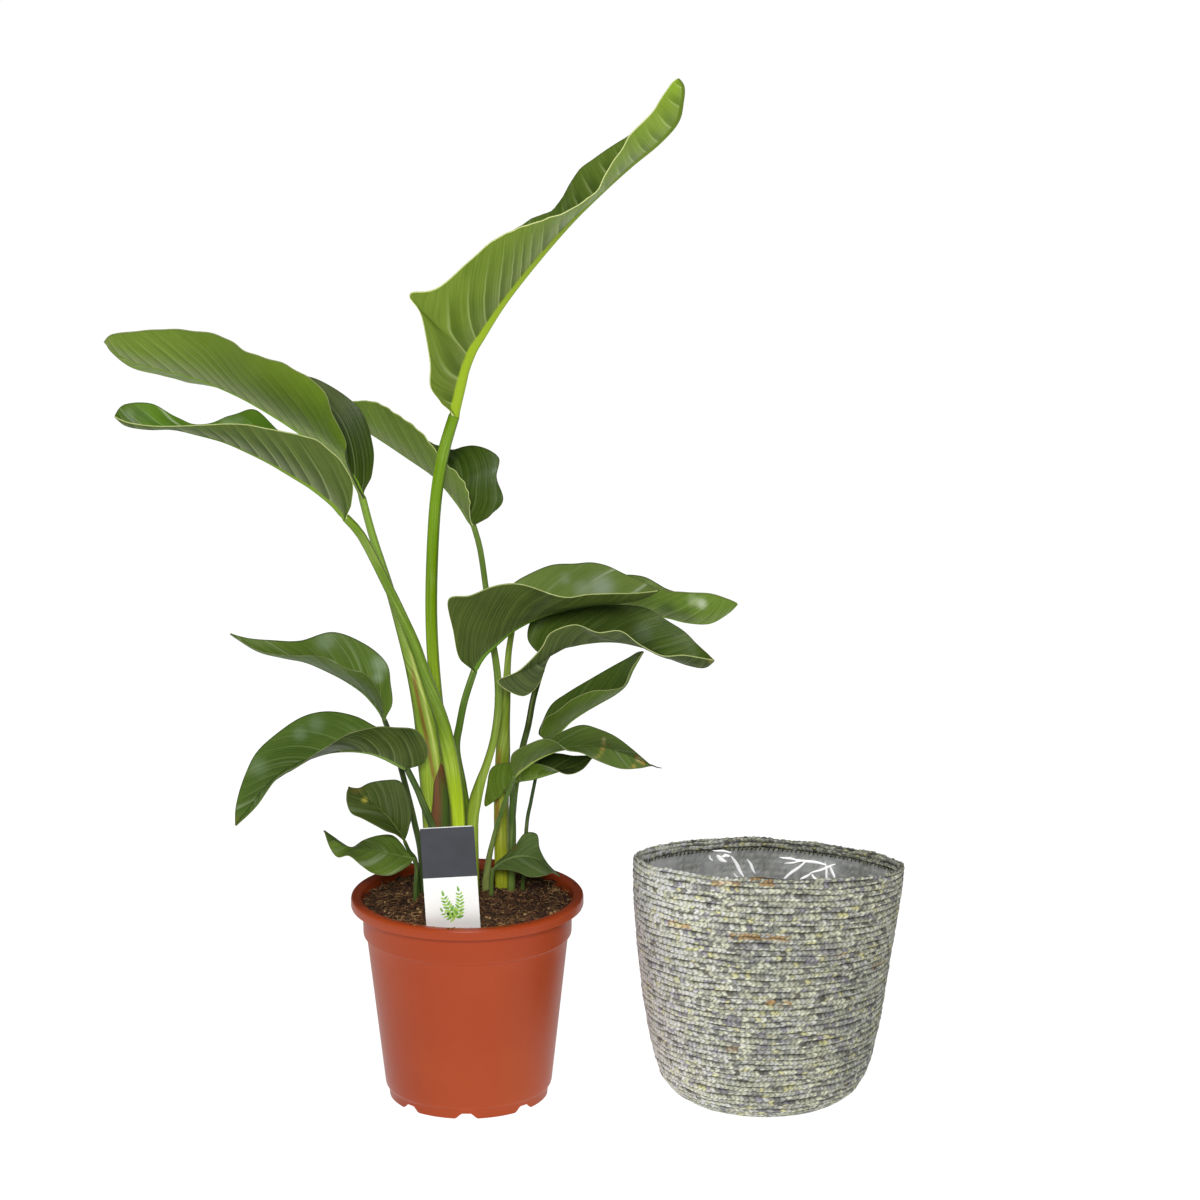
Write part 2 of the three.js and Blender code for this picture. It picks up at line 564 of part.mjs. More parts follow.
function leafSolid(leaf) {
  const columns = leaf.across * 2 + 1;
  const count = columns * 2;
  const { rings, footCentre } = stemRings(leaf, count);
  const last = leaf.blade.length - 1;
  const grid = [];
  const places = [];
  for (let i = 0; i <= leaf.steps; i += 1) {
    const t = (last - 0.25) * (i / leaf.steps) ** 1.1;
    places.push(t);
    grid.push(bladeRow(leaf, Math.max(t, 0.001)));
  }
  const baseDepth = leaf.stem[leaf.stem.length - 1][4];
  for (let i = 1; i < grid.length; i += 1) {
    const top = [];
    const under = [];
    for (let j = 0; j < columns; j += 1) {
      const ahead = grid[Math.min(i + 1, grid.length - 1)][j];
      const behind = grid[i - 1][j];
      const left = grid[i][Math.max(j - 1, 0)];
      const right = grid[i][Math.min(j + 1, columns - 1)];
      const forward = new THREE.Vector3().subVectors(ahead, behind);
      const sideways = new THREE.Vector3().subVectors(right, left);
      const normal = new THREE.Vector3().crossVectors(sideways, forward).normalize();
      normal.multiplyScalar(leaf.to);
      const onRib = j === leaf.across;
      const share = places[i] / last;
      const keel = onRib ? RIB_TIP_DEPTH + (baseDepth * 0.8 - RIB_TIP_DEPTH) * (1 - share) ** 1.6 : 0;
      top.push(grid[i][j].clone().addScaledVector(normal, BLADE_THICKNESS / 2));
      under.push(grid[i][j].clone().addScaledVector(normal, -BLADE_THICKNESS / 2 - keel));
    }
    rings.push([...top, ...under.reverse()]);
  }
  const end = leaf.blade[last];
  return solidFromRings(rings, footCentre, placed(end[0], end[1], end[2]));
}

// The room a stem needs in the soil.
function stemHole(leaf) {
  const { rings, footCentre } = stemRings(leaf, leaf.across * 4 + 2, FIT_GAP, 175);
  const top = rings[rings.length - 1];
  const middle = new THREE.Vector3();
  top.forEach((p) => middle.addScaledVector(p, 1 / top.length));
  footCentre.z -= FIT_GAP;
  return solidFromRings(rings, footCentre, middle);
}

// A closed three.js shape as a solid that can be joined and cut.
function solidFromGeometry(geometry) {
  geometry.deleteAttribute('normal');
  geometry.deleteAttribute('uv');
  const merged = mergeVertices(geometry, 1e-4);
  const whole = [];
  const index = merged.index.array;
  for (let f = 0; f < index.length; f += 3) {
    const [a, b, c] = [index[f], index[f + 1], index[f + 2]];
    if (a !== b && b !== c && c !== a) {
      whole.push(a, b, c);
    }
  }
  return new Manifold(new SolidMesh({
    numProp: 3,
    vertProperties: new Float32Array(merged.attributes.position.array),
    triVerts: new Uint32Array(whole),
  }));
}

// A solid turned round the upright axis from an outline of [radius, height]
// that starts and ends on that axis.
function turned(outline, sides) {
  const points = outline.map(([radius, height]) => new THREE.Vector2(radius, height));
  return solidFromGeometry(new THREE.LatheGeometry(points, sides).rotateX(Math.PI / 2));
}

// A flat outline of [x, y] given a thickness along its own z, from 0 up.
function thickened(outline, depth) {
  const shape = new THREE.Shape(outline.map(([x, y]) => new THREE.Vector2(x, y)));
  return new THREE.ExtrudeGeometry(shape, { depth, bevelEnabled: false });
}

function potSolid() {
  const outline = [
    [0, POT_FOOT_HEIGHT - POT_FLOOR],
    [POT_FOOT_RADIUS - POT_WALL * 1.4, POT_FOOT_HEIGHT - POT_FLOOR],
    [POT_FOOT_RADIUS - POT_WALL, 0],
    [POT_FOOT_RADIUS, 0],
    [POT_FOOT_RADIUS + 0.4, POT_FOOT_HEIGHT],
    [POT_LOWER_WALL_RADIUS - 1.2, POT_FOOT_HEIGHT + 0.4],
    [POT_LOWER_WALL_RADIUS, POT_FOOT_HEIGHT + 3.4],
    [POT_UPPER_WALL_RADIUS, POT_STEP_HEIGHT],
    [POT_COLLAR_RADIUS - 0.4, POT_STEP_HEIGHT + 1],
    [POT_COLLAR_RADIUS, POT_HEIGHT - POT_RIM_DROP],
    [POT_RIM_RADIUS - 1, POT_HEIGHT - POT_RIM_DROP - 0.6],
    [POT_RIM_RADIUS, POT_HEIGHT - POT_RIM_DROP + 0.6],
    [POT_RIM_RADIUS - 0.2, POT_HEIGHT - 1.6],
    [POT_RIM_RADIUS - 2, POT_HEIGHT],
    [POT_RIM_INNER_RADIUS + 1.4, POT_HEIGHT - 0.2],
    [POT_RIM_INNER_RADIUS, POT_HEIGHT - 1.8],
    [POT_COLLAR_RADIUS - POT_WALL, POT_HEIGHT - POT_RIM_DROP - 4],
    [POT_COLLAR_RADIUS - POT_WALL - 0.4, POT_STEP_HEIGHT + 1.5],
    [POT_UPPER_WALL_RADIUS - POT_WALL, POT_STEP_HEIGHT - 1],
    [POT_LOWER_WALL_RADIUS - POT_WALL, POT_FOOT_HEIGHT + 2],
    [POT_LOWER_WALL_RADIUS - POT_WALL - 1.5, POT_FOOT_HEIGHT],
    [0, POT_FOOT_HEIGHT],
  ];
  let pot = turned(outline, POT_SIDES);
  for (let k = 0; k < POT_NOTCHES; k += 1) {
    const low = POT_NOTCH_WIDTH_LOW / 2;
    const high = POT_NOTCH_WIDTH_HIGH / 2;
    const notch = thickened([
      [-low, -1], [low, -1], [low, 0], [high, POT_NOTCH_HEIGHT - 2],
      [-high, POT_NOTCH_HEIGHT - 2], [-low, 0],
    ], 12);
    notch.rotateX(Math.PI / 2).translate(0, -POT_FOOT_RADIUS + 7, 0);
    notch.rotateZ(deg(360 / POT_NOTCHES) * k);
    pot = pot.subtract(solidFromGeometry(notch));
  }
  for (let k = 0; k < DRAIN_HOLES; k += 1) {
    const angle = deg((360 / DRAIN_HOLES) * (k + 0.5));
    const drain = new THREE.CylinderGeometry(DRAIN_RADIUS, DRAIN_RADIUS, 6, 20);
    drain.rotateX(Math.PI / 2);
    drain.translate(DRAIN_RING_RADIUS * Math.cos(angle), DRAIN_RING_RADIUS * Math.sin(angle), 6);
    pot = pot.subtract(solidFromGeometry(drain));
  }
  return pot;
}

function labelSolid(grow = 0) {
  const tall = LABEL_TOP - LABEL_BOTTOM;
  const half = LABEL_WIDTH / 2 + grow;
  const outline = [
    [-half * 0.45, -tall - grow], [half * 0.45, -tall - grow], [half, -tall + 16],
    [half, -2], [half - 2, 0], [-half + 2, 0], [-half, -2], [-half, -tall + 16],
  ];
  const card = thickened(outline, LABEL_THICKNESS + 2 * grow);
  card.translate(0, 0, -LABEL_THICKNESS / 2 - grow);
  card.rotateX(Math.PI / 2);
  card.rotateY(deg(-LABEL_LEAN_DEG));
  card.translate(LABEL_TOP_X, LABEL_Y, LABEL_TOP);
  return solidFromGeometry(card);
}

function soilSolid() {
  const g = FIT_GAP;
  const outline = [
    [0, POT_FOOT_HEIGHT + g],
    [POT_LOWER_WALL_RADIUS - POT_WALL - 1.5 - g, POT_FOOT_HEIGHT + g],
    [POT_LOWER_WALL_RADIUS - POT_WALL - g, POT_FOOT_HEIGHT + 2 + g],
    [POT_UPPER_WALL_RADIUS - POT_WALL - g, POT_STEP_HEIGHT - 1],
    [POT_COLLAR_RADIUS - POT_WALL - 0.4 - g, POT_STEP_HEIGHT + 1.5 + g],
    [POT_COLLAR_RADIUS - POT_WALL - g, POT_HEIGHT - POT_RIM_DROP - 4],
    [POT_COLLAR_RADIUS - POT_WALL + 0.4 - g, SOIL_EDGE_HEIGHT - 1],
    [POT_COLLAR_RADIUS - POT_WALL - 3, SOIL_EDGE_HEIGHT],
    [44, SOIL_EDGE_HEIGHT + 2.2],
    [0, SOIL_MIDDLE_HEIGHT],
  ];
  let soil = turned(outline, 48);
  for (const leaf of Object.values(LEAVES)) {
    soil = soil.subtract(stemHole(leaf));
  }
  return soil.subtract(oldSheathSolid(FIT_GAP)).subtract(labelSolid(FIT_GAP));
}

// The dry old sheath wrapped round the front of the widest stem, ending in a point.
function oldSheathSolid(grow = 0) {
  const rings = [];
  const levels = [
    [-21, 120, 1, 8, 6, 74, 16], [-21, 160, 1, 8, 6, 74, 18], [-22.2, 195, 1, 9.2, 6, 62, 28],
    [-23.5, 222, 1, 9.4, 6, 48, 42], [-24.8, 240, 1, 9.4, 6, 36, 46], [-25.6, 252, 1.6, 9.5, 5.9, 7, 46],
  ];
  const turns = 6;
  for (const [x, z, y, wide, deep, spread, middle] of levels) {
    const centre = placed(x, z, y);
    const ring = [];
    for (const [offset, order] of [[0.6 - grow * 3, 1], [2.1 + grow, -1]]) {
      for (let k = 0; k <= turns; k += 1) {
        const share = order > 0 ? k / turns : 1 - k / turns;
        const angle = deg(-90 + middle + (spread + grow * 5) * (2 * share - 1));
        ring.push(new THREE.Vector3(
          centre.x + (wide + offset) * Math.cos(angle),
          centre.y + (deep + offset) * Math.sin(angle),
          centre.z - grow,
        ));
      }
    }
    rings.push(ring);
  }
  return solidFromRings(rings);
}

function basketRing(level, inward) {
  const [z, wide, deep, shift] = level;
  const flow = THREE.MathUtils.clamp((z - 80) / (BASKET_HEIGHT - 80), 0, 1);
  const ring = [];
  for (let k = 0; k < BASKET_SIDES; k += 1) {
    const angle = (2 * Math.PI * k) / BASKET_SIDES;
    const c = Math.cos(angle);
    const s = Math.sin(angle);
    const fullness = 2 + flow * ((s < 0 ? MOUTH_FRONT : MOUTH_BACK) - 2);
    const reach = (Math.abs(c) ** fullness + Math.abs(s) ** fullness) ** (-1 / fullness);
    ring.push(new THREE.Vector3(
      BASKET_X + shift + (wide - inward) * c * reach,
      (deep - inward) * s * reach,
      z - BASKET_LEAN * flow * c * reach,
    ));
  }
  return ring;
}

// The basket's wall and floor, or the liner that lies against them.
function basketShell(inward, thickness, floorLift, rimDrop) {
  const outer = BASKET_LEVELS.map((level) => basketRing(level, inward));
  const inner = BASKET_LEVELS.map((level) => basketRing(level, inward + thickness)).reverse();
  outer.forEach((ring) => ring.forEach((p) => { p.z += floorLift; }));
  inner.forEach((ring) => ring.forEach((p) => { p.z += floorLift + thickness; }));
  outer[outer.length - 1].forEach((p) => { p.z -= rimDrop; });
  inner[0].forEach((p) => { p.z -= rimDrop + thickness; });
  const footMiddle = new THREE.Vector3(BASKET_X, 0, floorLift);
  const floorMiddle = new THREE.Vector3(BASKET_X, 0, floorLift + thickness);
  return solidFromRings([...outer, ...inner], footMiddle, floorMiddle);
}

// Turns a solid into a named, coloured piece.
function piece(name, solid, colour, roughness) {
  const mesh = solid.getMesh();
  const flat = mesh.vertProperties;
  const step = mesh.numProp;
  const positions = new Float32Array((flat.length / step) * 3);
  for (let i = 0; i < flat.length / step; i += 1) {
    positions[i * 3] = flat[i * step];
    positions[i * 3 + 1] = flat[i * step + 1];
    positions[i * 3 + 2] = flat[i * step + 2];
  }
  const geometry = new THREE.BufferGeometry();
  geometry.setAttribute('position', new THREE.BufferAttribute(positions, 3));
  geometry.setIndex(new THREE.BufferAttribute(new Uint32Array(mesh.triVerts), 1));
  geometry.computeVertexNormals();
  const material = new THREE.MeshStandardMaterial({ color: colour, roughness, metalness: 0 });
  const part = new THREE.Mesh(geometry, material);
  part.name = name;
  return part;
}

const plant = new THREE.Group();
plant.name = 'potted_bird_of_paradise';
const LEAF_GREENS = [0x6f9a2a, 0x5f8a2c, 0x4f7a26, 0x456f26];
Object.entries(LEAVES).forEach(([name, leaf], i) => {
  plant.add(piece(name, leafSolid(leaf), LEAF_GREENS[i % LEAF_GREENS.length], 0.45));
});
plant.add(piece('old_sheath', oldSheathSolid(), 0x6b6a2c, 0.6));
plant.add(piece('pot', potSolid(), 0xbd6347, 0.5));
plant.add(piece('soil', soilSolid(), 0x5a3d28, 0.95));
plant.add(piece('label', labelSolid(), 0xe9e9e6, 0.4));
plant.add(piece('basket', basketShell(0, BASKET_WALL, 0, 0), 0xa3a184, 0.85));
plant.add(piece(
  'basket_liner',
  basketShell(BASKET_WALL + LINER_GAP, LINER_THICKNESS, BASKET_FLOOR + FIT_GAP, LINER_DROP),
  0xd9dcd6,
  0.15,
));

// The whole is moved so that its box stands on the floor, centred over the origin.
const box = new THREE.Box3().setFromObject(plant);
const middle = box.getCenter(new THREE.Vector3());
for (const part of plant.children) {
  part.geometry.translate(-middle.x, -middle.y, -box.min.z);
}

export default plant;
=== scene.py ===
# The potted bird of paradise and its basket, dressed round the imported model.
# Lengths are in millimetres from the pot's axis at floor level until a mesh is made,
# and in metres in the frame of the whole object after that.

import math
import random

import bmesh
import bpy
import numpy as np
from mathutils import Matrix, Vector


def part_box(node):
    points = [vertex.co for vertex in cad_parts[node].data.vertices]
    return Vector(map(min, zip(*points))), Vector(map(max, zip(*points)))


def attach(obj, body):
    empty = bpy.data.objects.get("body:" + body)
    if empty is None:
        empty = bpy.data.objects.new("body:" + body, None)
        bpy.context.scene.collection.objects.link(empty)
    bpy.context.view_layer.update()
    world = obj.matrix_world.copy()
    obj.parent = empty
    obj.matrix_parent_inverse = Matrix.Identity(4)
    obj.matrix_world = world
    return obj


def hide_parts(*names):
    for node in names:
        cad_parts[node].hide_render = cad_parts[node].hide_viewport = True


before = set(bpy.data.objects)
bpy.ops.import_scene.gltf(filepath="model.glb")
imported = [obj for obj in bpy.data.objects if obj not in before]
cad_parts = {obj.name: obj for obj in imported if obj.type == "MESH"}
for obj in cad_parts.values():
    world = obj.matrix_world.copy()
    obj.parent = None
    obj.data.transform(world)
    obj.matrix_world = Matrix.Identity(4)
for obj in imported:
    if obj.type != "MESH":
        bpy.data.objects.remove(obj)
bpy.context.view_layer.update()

MM = 0.001
BODY = "root"
SEED = 7

pot_low, pot_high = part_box("pot")
POT_AXIS = np.array([(pot_low.x + pot_high.x) / 2 / MM, (pot_low.y + pot_high.y) / 2 / MM, 0.0])

# Where a person standing in front has their eye. Leaf points are [x, z, y]: the place
# where that person sees the point against the upright plane through the pot's axis,
# and how far behind that plane it really is.
EYE = np.array([97.0, -2718.0, 1045.0])
AIM = np.array([97.0, 0.0, 373.7])
LENS = 117.05

BLADE_THICKNESS = 0.9
MARGIN_THICKNESS = 0.6
RIB_TIP_DEPTH = 0.9
SOIL_LEVEL = 118

POT_HEIGHT = 153
POT_RIM_RADIUS = 85
POT_RIM_INNER_RADIUS = 77
POT_RIM_DROP = 7.5
POT_STEP_HEIGHT = 123
POT_UPPER_WALL_RADIUS = 73.8
POT_LOWER_WALL_RADIUS = 61.4
POT_FOOT_RADIUS = 58.5
POT_NOTCHES = 8
SOIL_EDGE_HEIGHT = 146.5
SOIL_MIDDLE_HEIGHT = 150

LABEL_WIDTH = 38.6
LABEL_THICKNESS = 0.8
LABEL_TOP = 224
LABEL_BOTTOM = 122
LABEL_Y = -66
LABEL_TOP_X = -11.9
LABEL_LEAN_DEG = 3.2

BASKET_X = 217.2
BASKET_HEIGHT = 180
BASKET_LEAN = 3.6
MOUTH_FRONT = 2.3
MOUTH_BACK = 1.5
# Height, half width, half depth and how far the middle has moved to the right.
BASKET_LEVELS = [
    [0, 51.5, 51.5, 0], [3, 62.5, 62, 0], [9, 70.5, 70, 0], [18, 76.4, 75.5, 0], [34, 81, 79, 0],
    [55, 85.5, 80.5, 0], [80, 89.4, 80, 0], [105, 92.3, 77, 0.2], [130, 95.2, 71, 0.8],
    [150, 97.4, 63.5, 1.6], [166, 98.5, 56.5, 2.4], [180, 98.9, 52, 3.1],
]

# A row of a blade: midrib, far margin, near margin, each [x, z, y].
# A row of a stem: [x, z, y, half width, half depth], from the ground up.
# "to" is 1 when the leaf reaches to the right and -1 when it reaches to the left.
LEAVES = {
    "leaf_tall": {
        "to": 1, "bulge": 0.1,
        "stem": [
            [-14.6, 205, 15, 5, 5], [-16.4, 250, 15, 5, 4.9], [-20.4, 290, 14, 4.9, 4.7],
            [-23.6, 330, 13, 4.9, 4.5], [-24.6, 370, 11, 4.8, 4.5], [-23, 415, 9, 4.8, 4.5],
            [-20.2, 450, 8, 4.8, 4.5], [-15, 481, 8, 4.8, 4.6],
        ],
        "blade": [
            [-7, 508, 8, -6, 509, 11, -11.4, 511, 5], [-4.5, 518, 8, -8, 519, 20, -17, 519.5, -4],
            [-1.6, 530, 8, -13, 532, 30, -23.4, 530, -12], [1, 541, 8, -18, 552, 40, -23.4, 549, -18],
            [4.4, 550, 8, -20, 575, 48, -29, 580, -24], [7.5, 556.5, 8.6, -14, 590, 50, -36.9, 595.6, -28],
            [11.8, 563.5, 9, -4, 601, 52, -16.5, 600.5, -31], [28.5, 590, 10, 20, 628, 52, 20, 632, -42],
            [52, 620, 11, 46, 647, 50, 43, 643.5, -46], [76, 647.5, 12, 66, 657, 48, 66, 651, -46],
            [98, 669, 13, 80, 680, 46, 90, 664, -44], [118, 687, 14, 98, 695, 42, 104, 685, -36],
            [137, 702.5, 14, 118, 708, 34, 117, 706, -26], [150, 717, 14, 134, 724, 26, 132, 722, -14],
            [153.6, 731, 14, 143, 737, 19, 140, 734, -2],
            [154.4, 741, 13.5, 149, 744.4, 15, 146.5, 743.4, 8],
            [151, 746.5, 13, 150, 746.5, 14, 150, 746.5, 12],
        ],
    },
    "leaf_upper_left": {
        "to": -1, "bulge": 0.1,
        "stem": [
            [-21, 165, 1, 8, 6], [-22.5, 205, 1, 9.5, 6], [-24.5, 235, 1, 9.2, 6],
            [-26.2, 258, 2, 9.6, 5.8], [-28.4, 280, 3, 8.7, 5.4], [-31.8, 300, 4, 7.6, 5],
            [-36.5, 320, 6, 6.2, 4.5], [-42.5, 340, 8, 4.4, 4.1], [-53, 380, 12, 3.7, 3.7],
            [-65, 420, 15, 3.2, 3.2],
        ],
        "blade": [
            [-72, 448, 16, -70, 450, 19, -76, 451, 13], [-77, 461, 16, -65, 468, 29, -84, 477, 2],
            [-86, 472, 17, -64.5, 487, 34, -83.5, 490, -9], [-98, 483.5, 18, -74, 514, 38, -92, 508, -19],
            [-115, 496, 20, -104, 535, 44, -101, 529, -24],
            [-137, 510.5, 22, -134, 537, 50, -124, 544.5, -23],
            [-160, 523.5, 24, -162, 532, 54, -150, 553.5, -17],
            [-185, 534, 26, -190, 532, 56, -172, 566, -8],
            [-210, 541, 28, -213, 537.5, 50, -202, 570.5, 2],
            [-232, 547, 29, -234, 543, 38, -230, 569, 12], [-246, 555, 30, -248, 554, 33, -247, 567, 22],
            [-253, 562, 30, -252.6, 562, 31, -252.6, 562.6, 29],
        ],
    },
    "leaf_lower_left": {
        "to": -1, "bulge": 0.1,
        "stem": [
            [-5, 165, -12, 5.4, 4.8], [-5.5, 205, -12, 5.6, 5], [-8, 235, -12, 6, 5],
            [-12.8, 265, -12, 6.2, 5], [-18, 288, -12, 5.3, 4.8], [-29, 320, -13, 4.4, 4.3],
            [-35.5, 340, -14, 4.2, 4.1], [-44, 360, -16, 4, 3.9], [-53, 380, -18, 3.8, 3.8],
            [-72, 419, -25, 3.5, 3.5],
        ],
        "blade": [
            [-84, 434, -28, -82, 436, -25, -82, 435, -30], [-88, 439, -29, -80, 447, -15, -80, 446, -40],
            [-93, 444.5, -30, -80, 460, -8, -79, 458, -48],
            [-100, 450.5, -31, -86, 473, -2, -83, 469, -54], [-110, 458, -32, -98, 485, 2, -91, 480, -58],
            [-123, 466, -33, -114, 492, 5, -104, 490.5, -62],
            [-138, 475, -34, -131, 497.5, 8, -121, 495.5, -62],
            [-154, 483, -35, -148, 512.5, 8, -140, 499.5, -60],
            [-170, 490, -36, -166, 508, 3, -160, 502.5, -56],
            [-188, 495, -37, -186, 501.5, -4, -181, 502, -52],
            [-206, 499, -38, -203, 507, -10, -201, 501, -48],
            [-224, 499, -39, -221, 517, -18, -220, 501, -46],
            [-239, 501.5, -40, -240, 516.5, -28, -237, 503.5, -44],
            [-247, 508, -40, -247, 509, -39, -247, 507.5, -41],
        ],
    },
    "leaf_behind": {
        "to": -1, "bulge": 0.08,
        "stem": [
            [4.5, 165, 0, 5.4, 5], [4.5, 205, 1, 5, 4.8], [6.5, 222, 2, 5.2, 4.6], [11, 239, 4, 3.9, 3.8],
            [14.8, 250, 6, 3.3, 3.3], [20.5, 270, 8, 3.1, 3.1], [23.8, 295, 11, 3.1, 3.1],
            [23.2, 320, 14, 2.9, 2.9], [19, 350, 17, 2.7, 2.7], [15.3, 383, 18, 2.4, 2.4],
            [11.5, 411, 19, 2.4, 2.4],
        ],
        "blade": [
            [7, 428, 20, 10, 427, 23, 4, 431, 18], [3, 434, 23, 20, 437, 34, 4, 440, 14],
            [-2, 442, 27, 28, 447, 40, 4, 448, 12], [-8, 450, 31, 23.4, 464, 46, 2, 456, 12],
            [-13, 456, 34, 24.8, 478.5, 50, -1, 462, 13.5], [-18, 462, 36.5, 8, 487, 57, -7, 469, 16],
            [-25, 468, 39, -8, 484, 66, -14, 475, 18], [-38, 477, 46, -28, 491, 71, -28, 494, 22],
            [-54, 488, 53, -50, 502, 76, -46, 509, 32], [-72, 500, 61, -70, 511, 80, -66, 519, 47],
            [-95, 516, 70, -94, 516, 71, -94, 516.6, 69],
        ],
    },
    "leaf_front_right": {
        "to": 1, "bulge": 0.12,
        "stem": [
            [1, 165, 13, 4, 4], [0, 205, 13, 4, 3.8], [-3.5, 235, 11, 3.8, 3.6], [-7.5, 262, 6, 3.3, 3.3],
            [-4.8, 281, -1, 3, 3], [-0.8, 300, -8, 2.9, 2.9],
        ],
        "blade": [
            [6, 321, -13, 8, 323, -10, 3, 322, -15], [8, 325, -13.5, 10, 331, -4, -5, 332, -22],
            [11, 329.5, -14, 10, 340, 3, -8.5, 350, -28], [15, 334.5, -14, 9, 352, 8, -12, 374, -33],
            [23, 342, -14, 14, 366, 10, 3, 377, -39], [33, 350.5, -14, 26, 378, 13, 18, 383, -44],
            [46, 358, -15, 40, 389.5, 22, 34, 386, -48], [60, 363.5, -16, 60, 398.5, 28, 53, 382, -51],
            [76, 367.5, -18, 80, 401, 30, 70, 375.5, -53], [94, 370.5, -21, 98, 400, 27, 88, 378, -51],
            [112, 372, -24, 115, 393, 17, 107, 378.5, -47], [128, 375.5, -28, 130, 386, -2, 124, 379, -41],
            [139, 381, -32, 138.6, 381.6, -31, 138.4, 380.6, -33],
        ],
    },
    "leaf_back_right": {
        "to": 1, "bulge": 0.1,
        "stem": [
            [25, 165, 24, 6, 5.4], [24.5, 205, 24, 6, 5.4], [25, 235, 24, 6.2, 5.4],
            [26, 258, 24.5, 6, 5.2], [27, 280, 25.5, 5, 4.6], [28.5, 300, 27, 4, 4], [29.7, 318, 29, 3, 3],
            [31, 335, 32, 2.6, 2.6],
        ],
        "blade": [
            [34, 354, 37, 33, 355, 40, 33, 356, 34], [42, 360, 43, 39, 365, 54, 38, 367, 37],
            [55, 364, 49, 50, 373, 66, 48, 377, 38], [72, 367, 54, 66, 382, 76, 66, 386, 40],
            [92, 368, 57, 88, 389, 82, 88, 391, 42], [112, 367, 58, 108, 392, 82, 108, 391, 42],
            [130, 364, 56, 128, 391, 78, 127, 386, 40], [146, 361, 52, 146, 381.5, 72, 143, 381, 36],
            [160, 357.5, 48, 162, 377, 64, 158, 379.5, 32], [176, 357, 44, 179, 371, 54, 176, 378.5, 32],
            [189, 364.5, 41, 190, 370, 45, 189, 374.5, 36],
            [195.5, 371, 40, 195.2, 371, 41, 195.2, 371.6, 39],
        ],
    },
    "leaf_low_right": {
        "to": 1, "bulge": 0.1,
        "stem": [
            [28, 165, 34, 3.6, 3.6], [31.5, 200, 34, 3.4, 3.4], [34.5, 230, 33, 3, 3],
            [38, 250, 30, 2.8, 2.8], [41, 265, 26, 2.6, 2.6], [44.8, 280, 19, 2.6, 2.6],
            [48.5, 300, 10, 2.5, 2.5], [53.5, 318, 2, 2.4, 2.4],
        ],
        "blade": [
            [58, 332, -4, 56, 333, -1, 57, 329, -6], [60, 334, -4, 51, 336, 7, 54, 313, -12],
            [63, 336, -5, 45, 345, 13, 41, 302, -14], [67, 337.5, -5, 47, 357, 17, 23, 313, -13],
            [72, 339.5, -6, 56, 363, 20, 39, 322, -17], [79, 341, -7, 70, 367, 24, 54, 337, -24],
            [88, 342.5, -8, 84, 369, 27, 62, 350, -32], [99, 343.5, -10, 98, 370, 28, 78, 355.5, -38],
            [111, 343, -12, 112, 370, 27, 95, 350, -42],
            [123, 340.5, -15, 128, 368.5, 22, 112, 350.5, -42],
            [135, 336.5, -18, 143, 360, 12, 127, 340, -42], [147, 331, -21, 157, 351, 2, 142, 332.5, -40],
            [160, 326, -24, 167, 341, -8, 157, 333, -36], [172, 324, -27, 174, 334.5, -19, 170, 331, -32],
            [179, 329, -28, 178.6, 329.6, -27.6, 178.4, 329.4, -28.6],
        ],
    },
    "leaf_slim_right": {
        "to": 1, "bulge": 0.14,
        "stem": [
            [40.5, 160, 20, 1.8, 1.8], [43.5, 205, 22, 1.6, 1.6], [46.5, 222, 24, 1.5, 1.5],
            [50, 240, 26, 1.4, 1.4], [53, 256, 26, 1.4, 1.4],
        ],
        "blade": [
            [56, 269, 24, 54.5, 270, 26, 57, 268, 22.5], [62, 271, 24, 52.5, 275, 32, 54, 274, 16],
            [68, 276, 23, 55, 282, 38, 57, 285, 10], [76, 284, 22, 62, 296, 42, 66, 291, 6],
            [86, 291, 21, 74, 305, 42, 77, 300, 3], [97, 297.5, 20, 90, 315, 40, 91, 306, 2],
            [108, 304, 18, 106, 324.5, 35, 104, 307, 4], [115.6, 311, 16, 117.5, 331, 26, 114, 310, 9],
            [120.8, 322.5, 15, 124, 335, 20, 119.5, 322.5, 12],
            [128, 335.5, 14, 128, 335.8, 14.6, 127.8, 335, 13.4],
        ],
    },
    "leaf_spotted": {
        "to": 1, "bulge": 0.1,
        "stem": [
            [13.5, 162, 15, 3.6, 3.2], [15.5, 178, 12, 2.6, 2.4], [18.5, 192, 8, 2, 2],
            [22, 205, 3, 1.8, 1.8], [27.5, 222, -7, 1.7, 1.7],
        ],
        "blade": [
            [34.5, 241.5, -17, 36, 242, -15, 33.5, 243, -19], [38, 245.5, -18, 38, 252, -9, 32, 251, -26],
            [43, 249.5, -19, 42, 259, -4, 34, 259.5, -32], [50, 254.5, -20, 52, 265, 0, 45, 266, -37],
            [58, 258.5, -21, 62, 270, 3, 56, 270, -39], [66, 261.5, -22, 71, 276, 5, 65, 268, -42],
            [76, 263.5, -23, 84, 280.5, 5, 73, 262, -45], [88, 264.5, -24, 96, 277.5, 3, 84, 259.5, -46],
            [101, 263.5, -25, 108, 272, -2, 97, 253, -45],
            [115, 259, -26, 119, 263.5, -10, 112, 247.8, -42],
            [126, 254, -27, 128, 255.5, -20, 125, 248, -35],
            [134, 250, -28, 133.8, 250.4, -27.6, 133.6, 249.8, -28.4],
        ],
    },
    "leaf_wrapping": {
        "to": 1, "bulge": 0.1,
        "stem": [
            [32, 162, 16, 3.2, 3.2], [33, 200, 16, 3, 3], [33, 222, 13, 2.4, 2.4],
        ],
        "blade": [
            [33, 237.5, 9, 34, 239, 11, 30, 236, 8], [36, 238.5, 8, 39, 244, 15, 14, 219, 12],
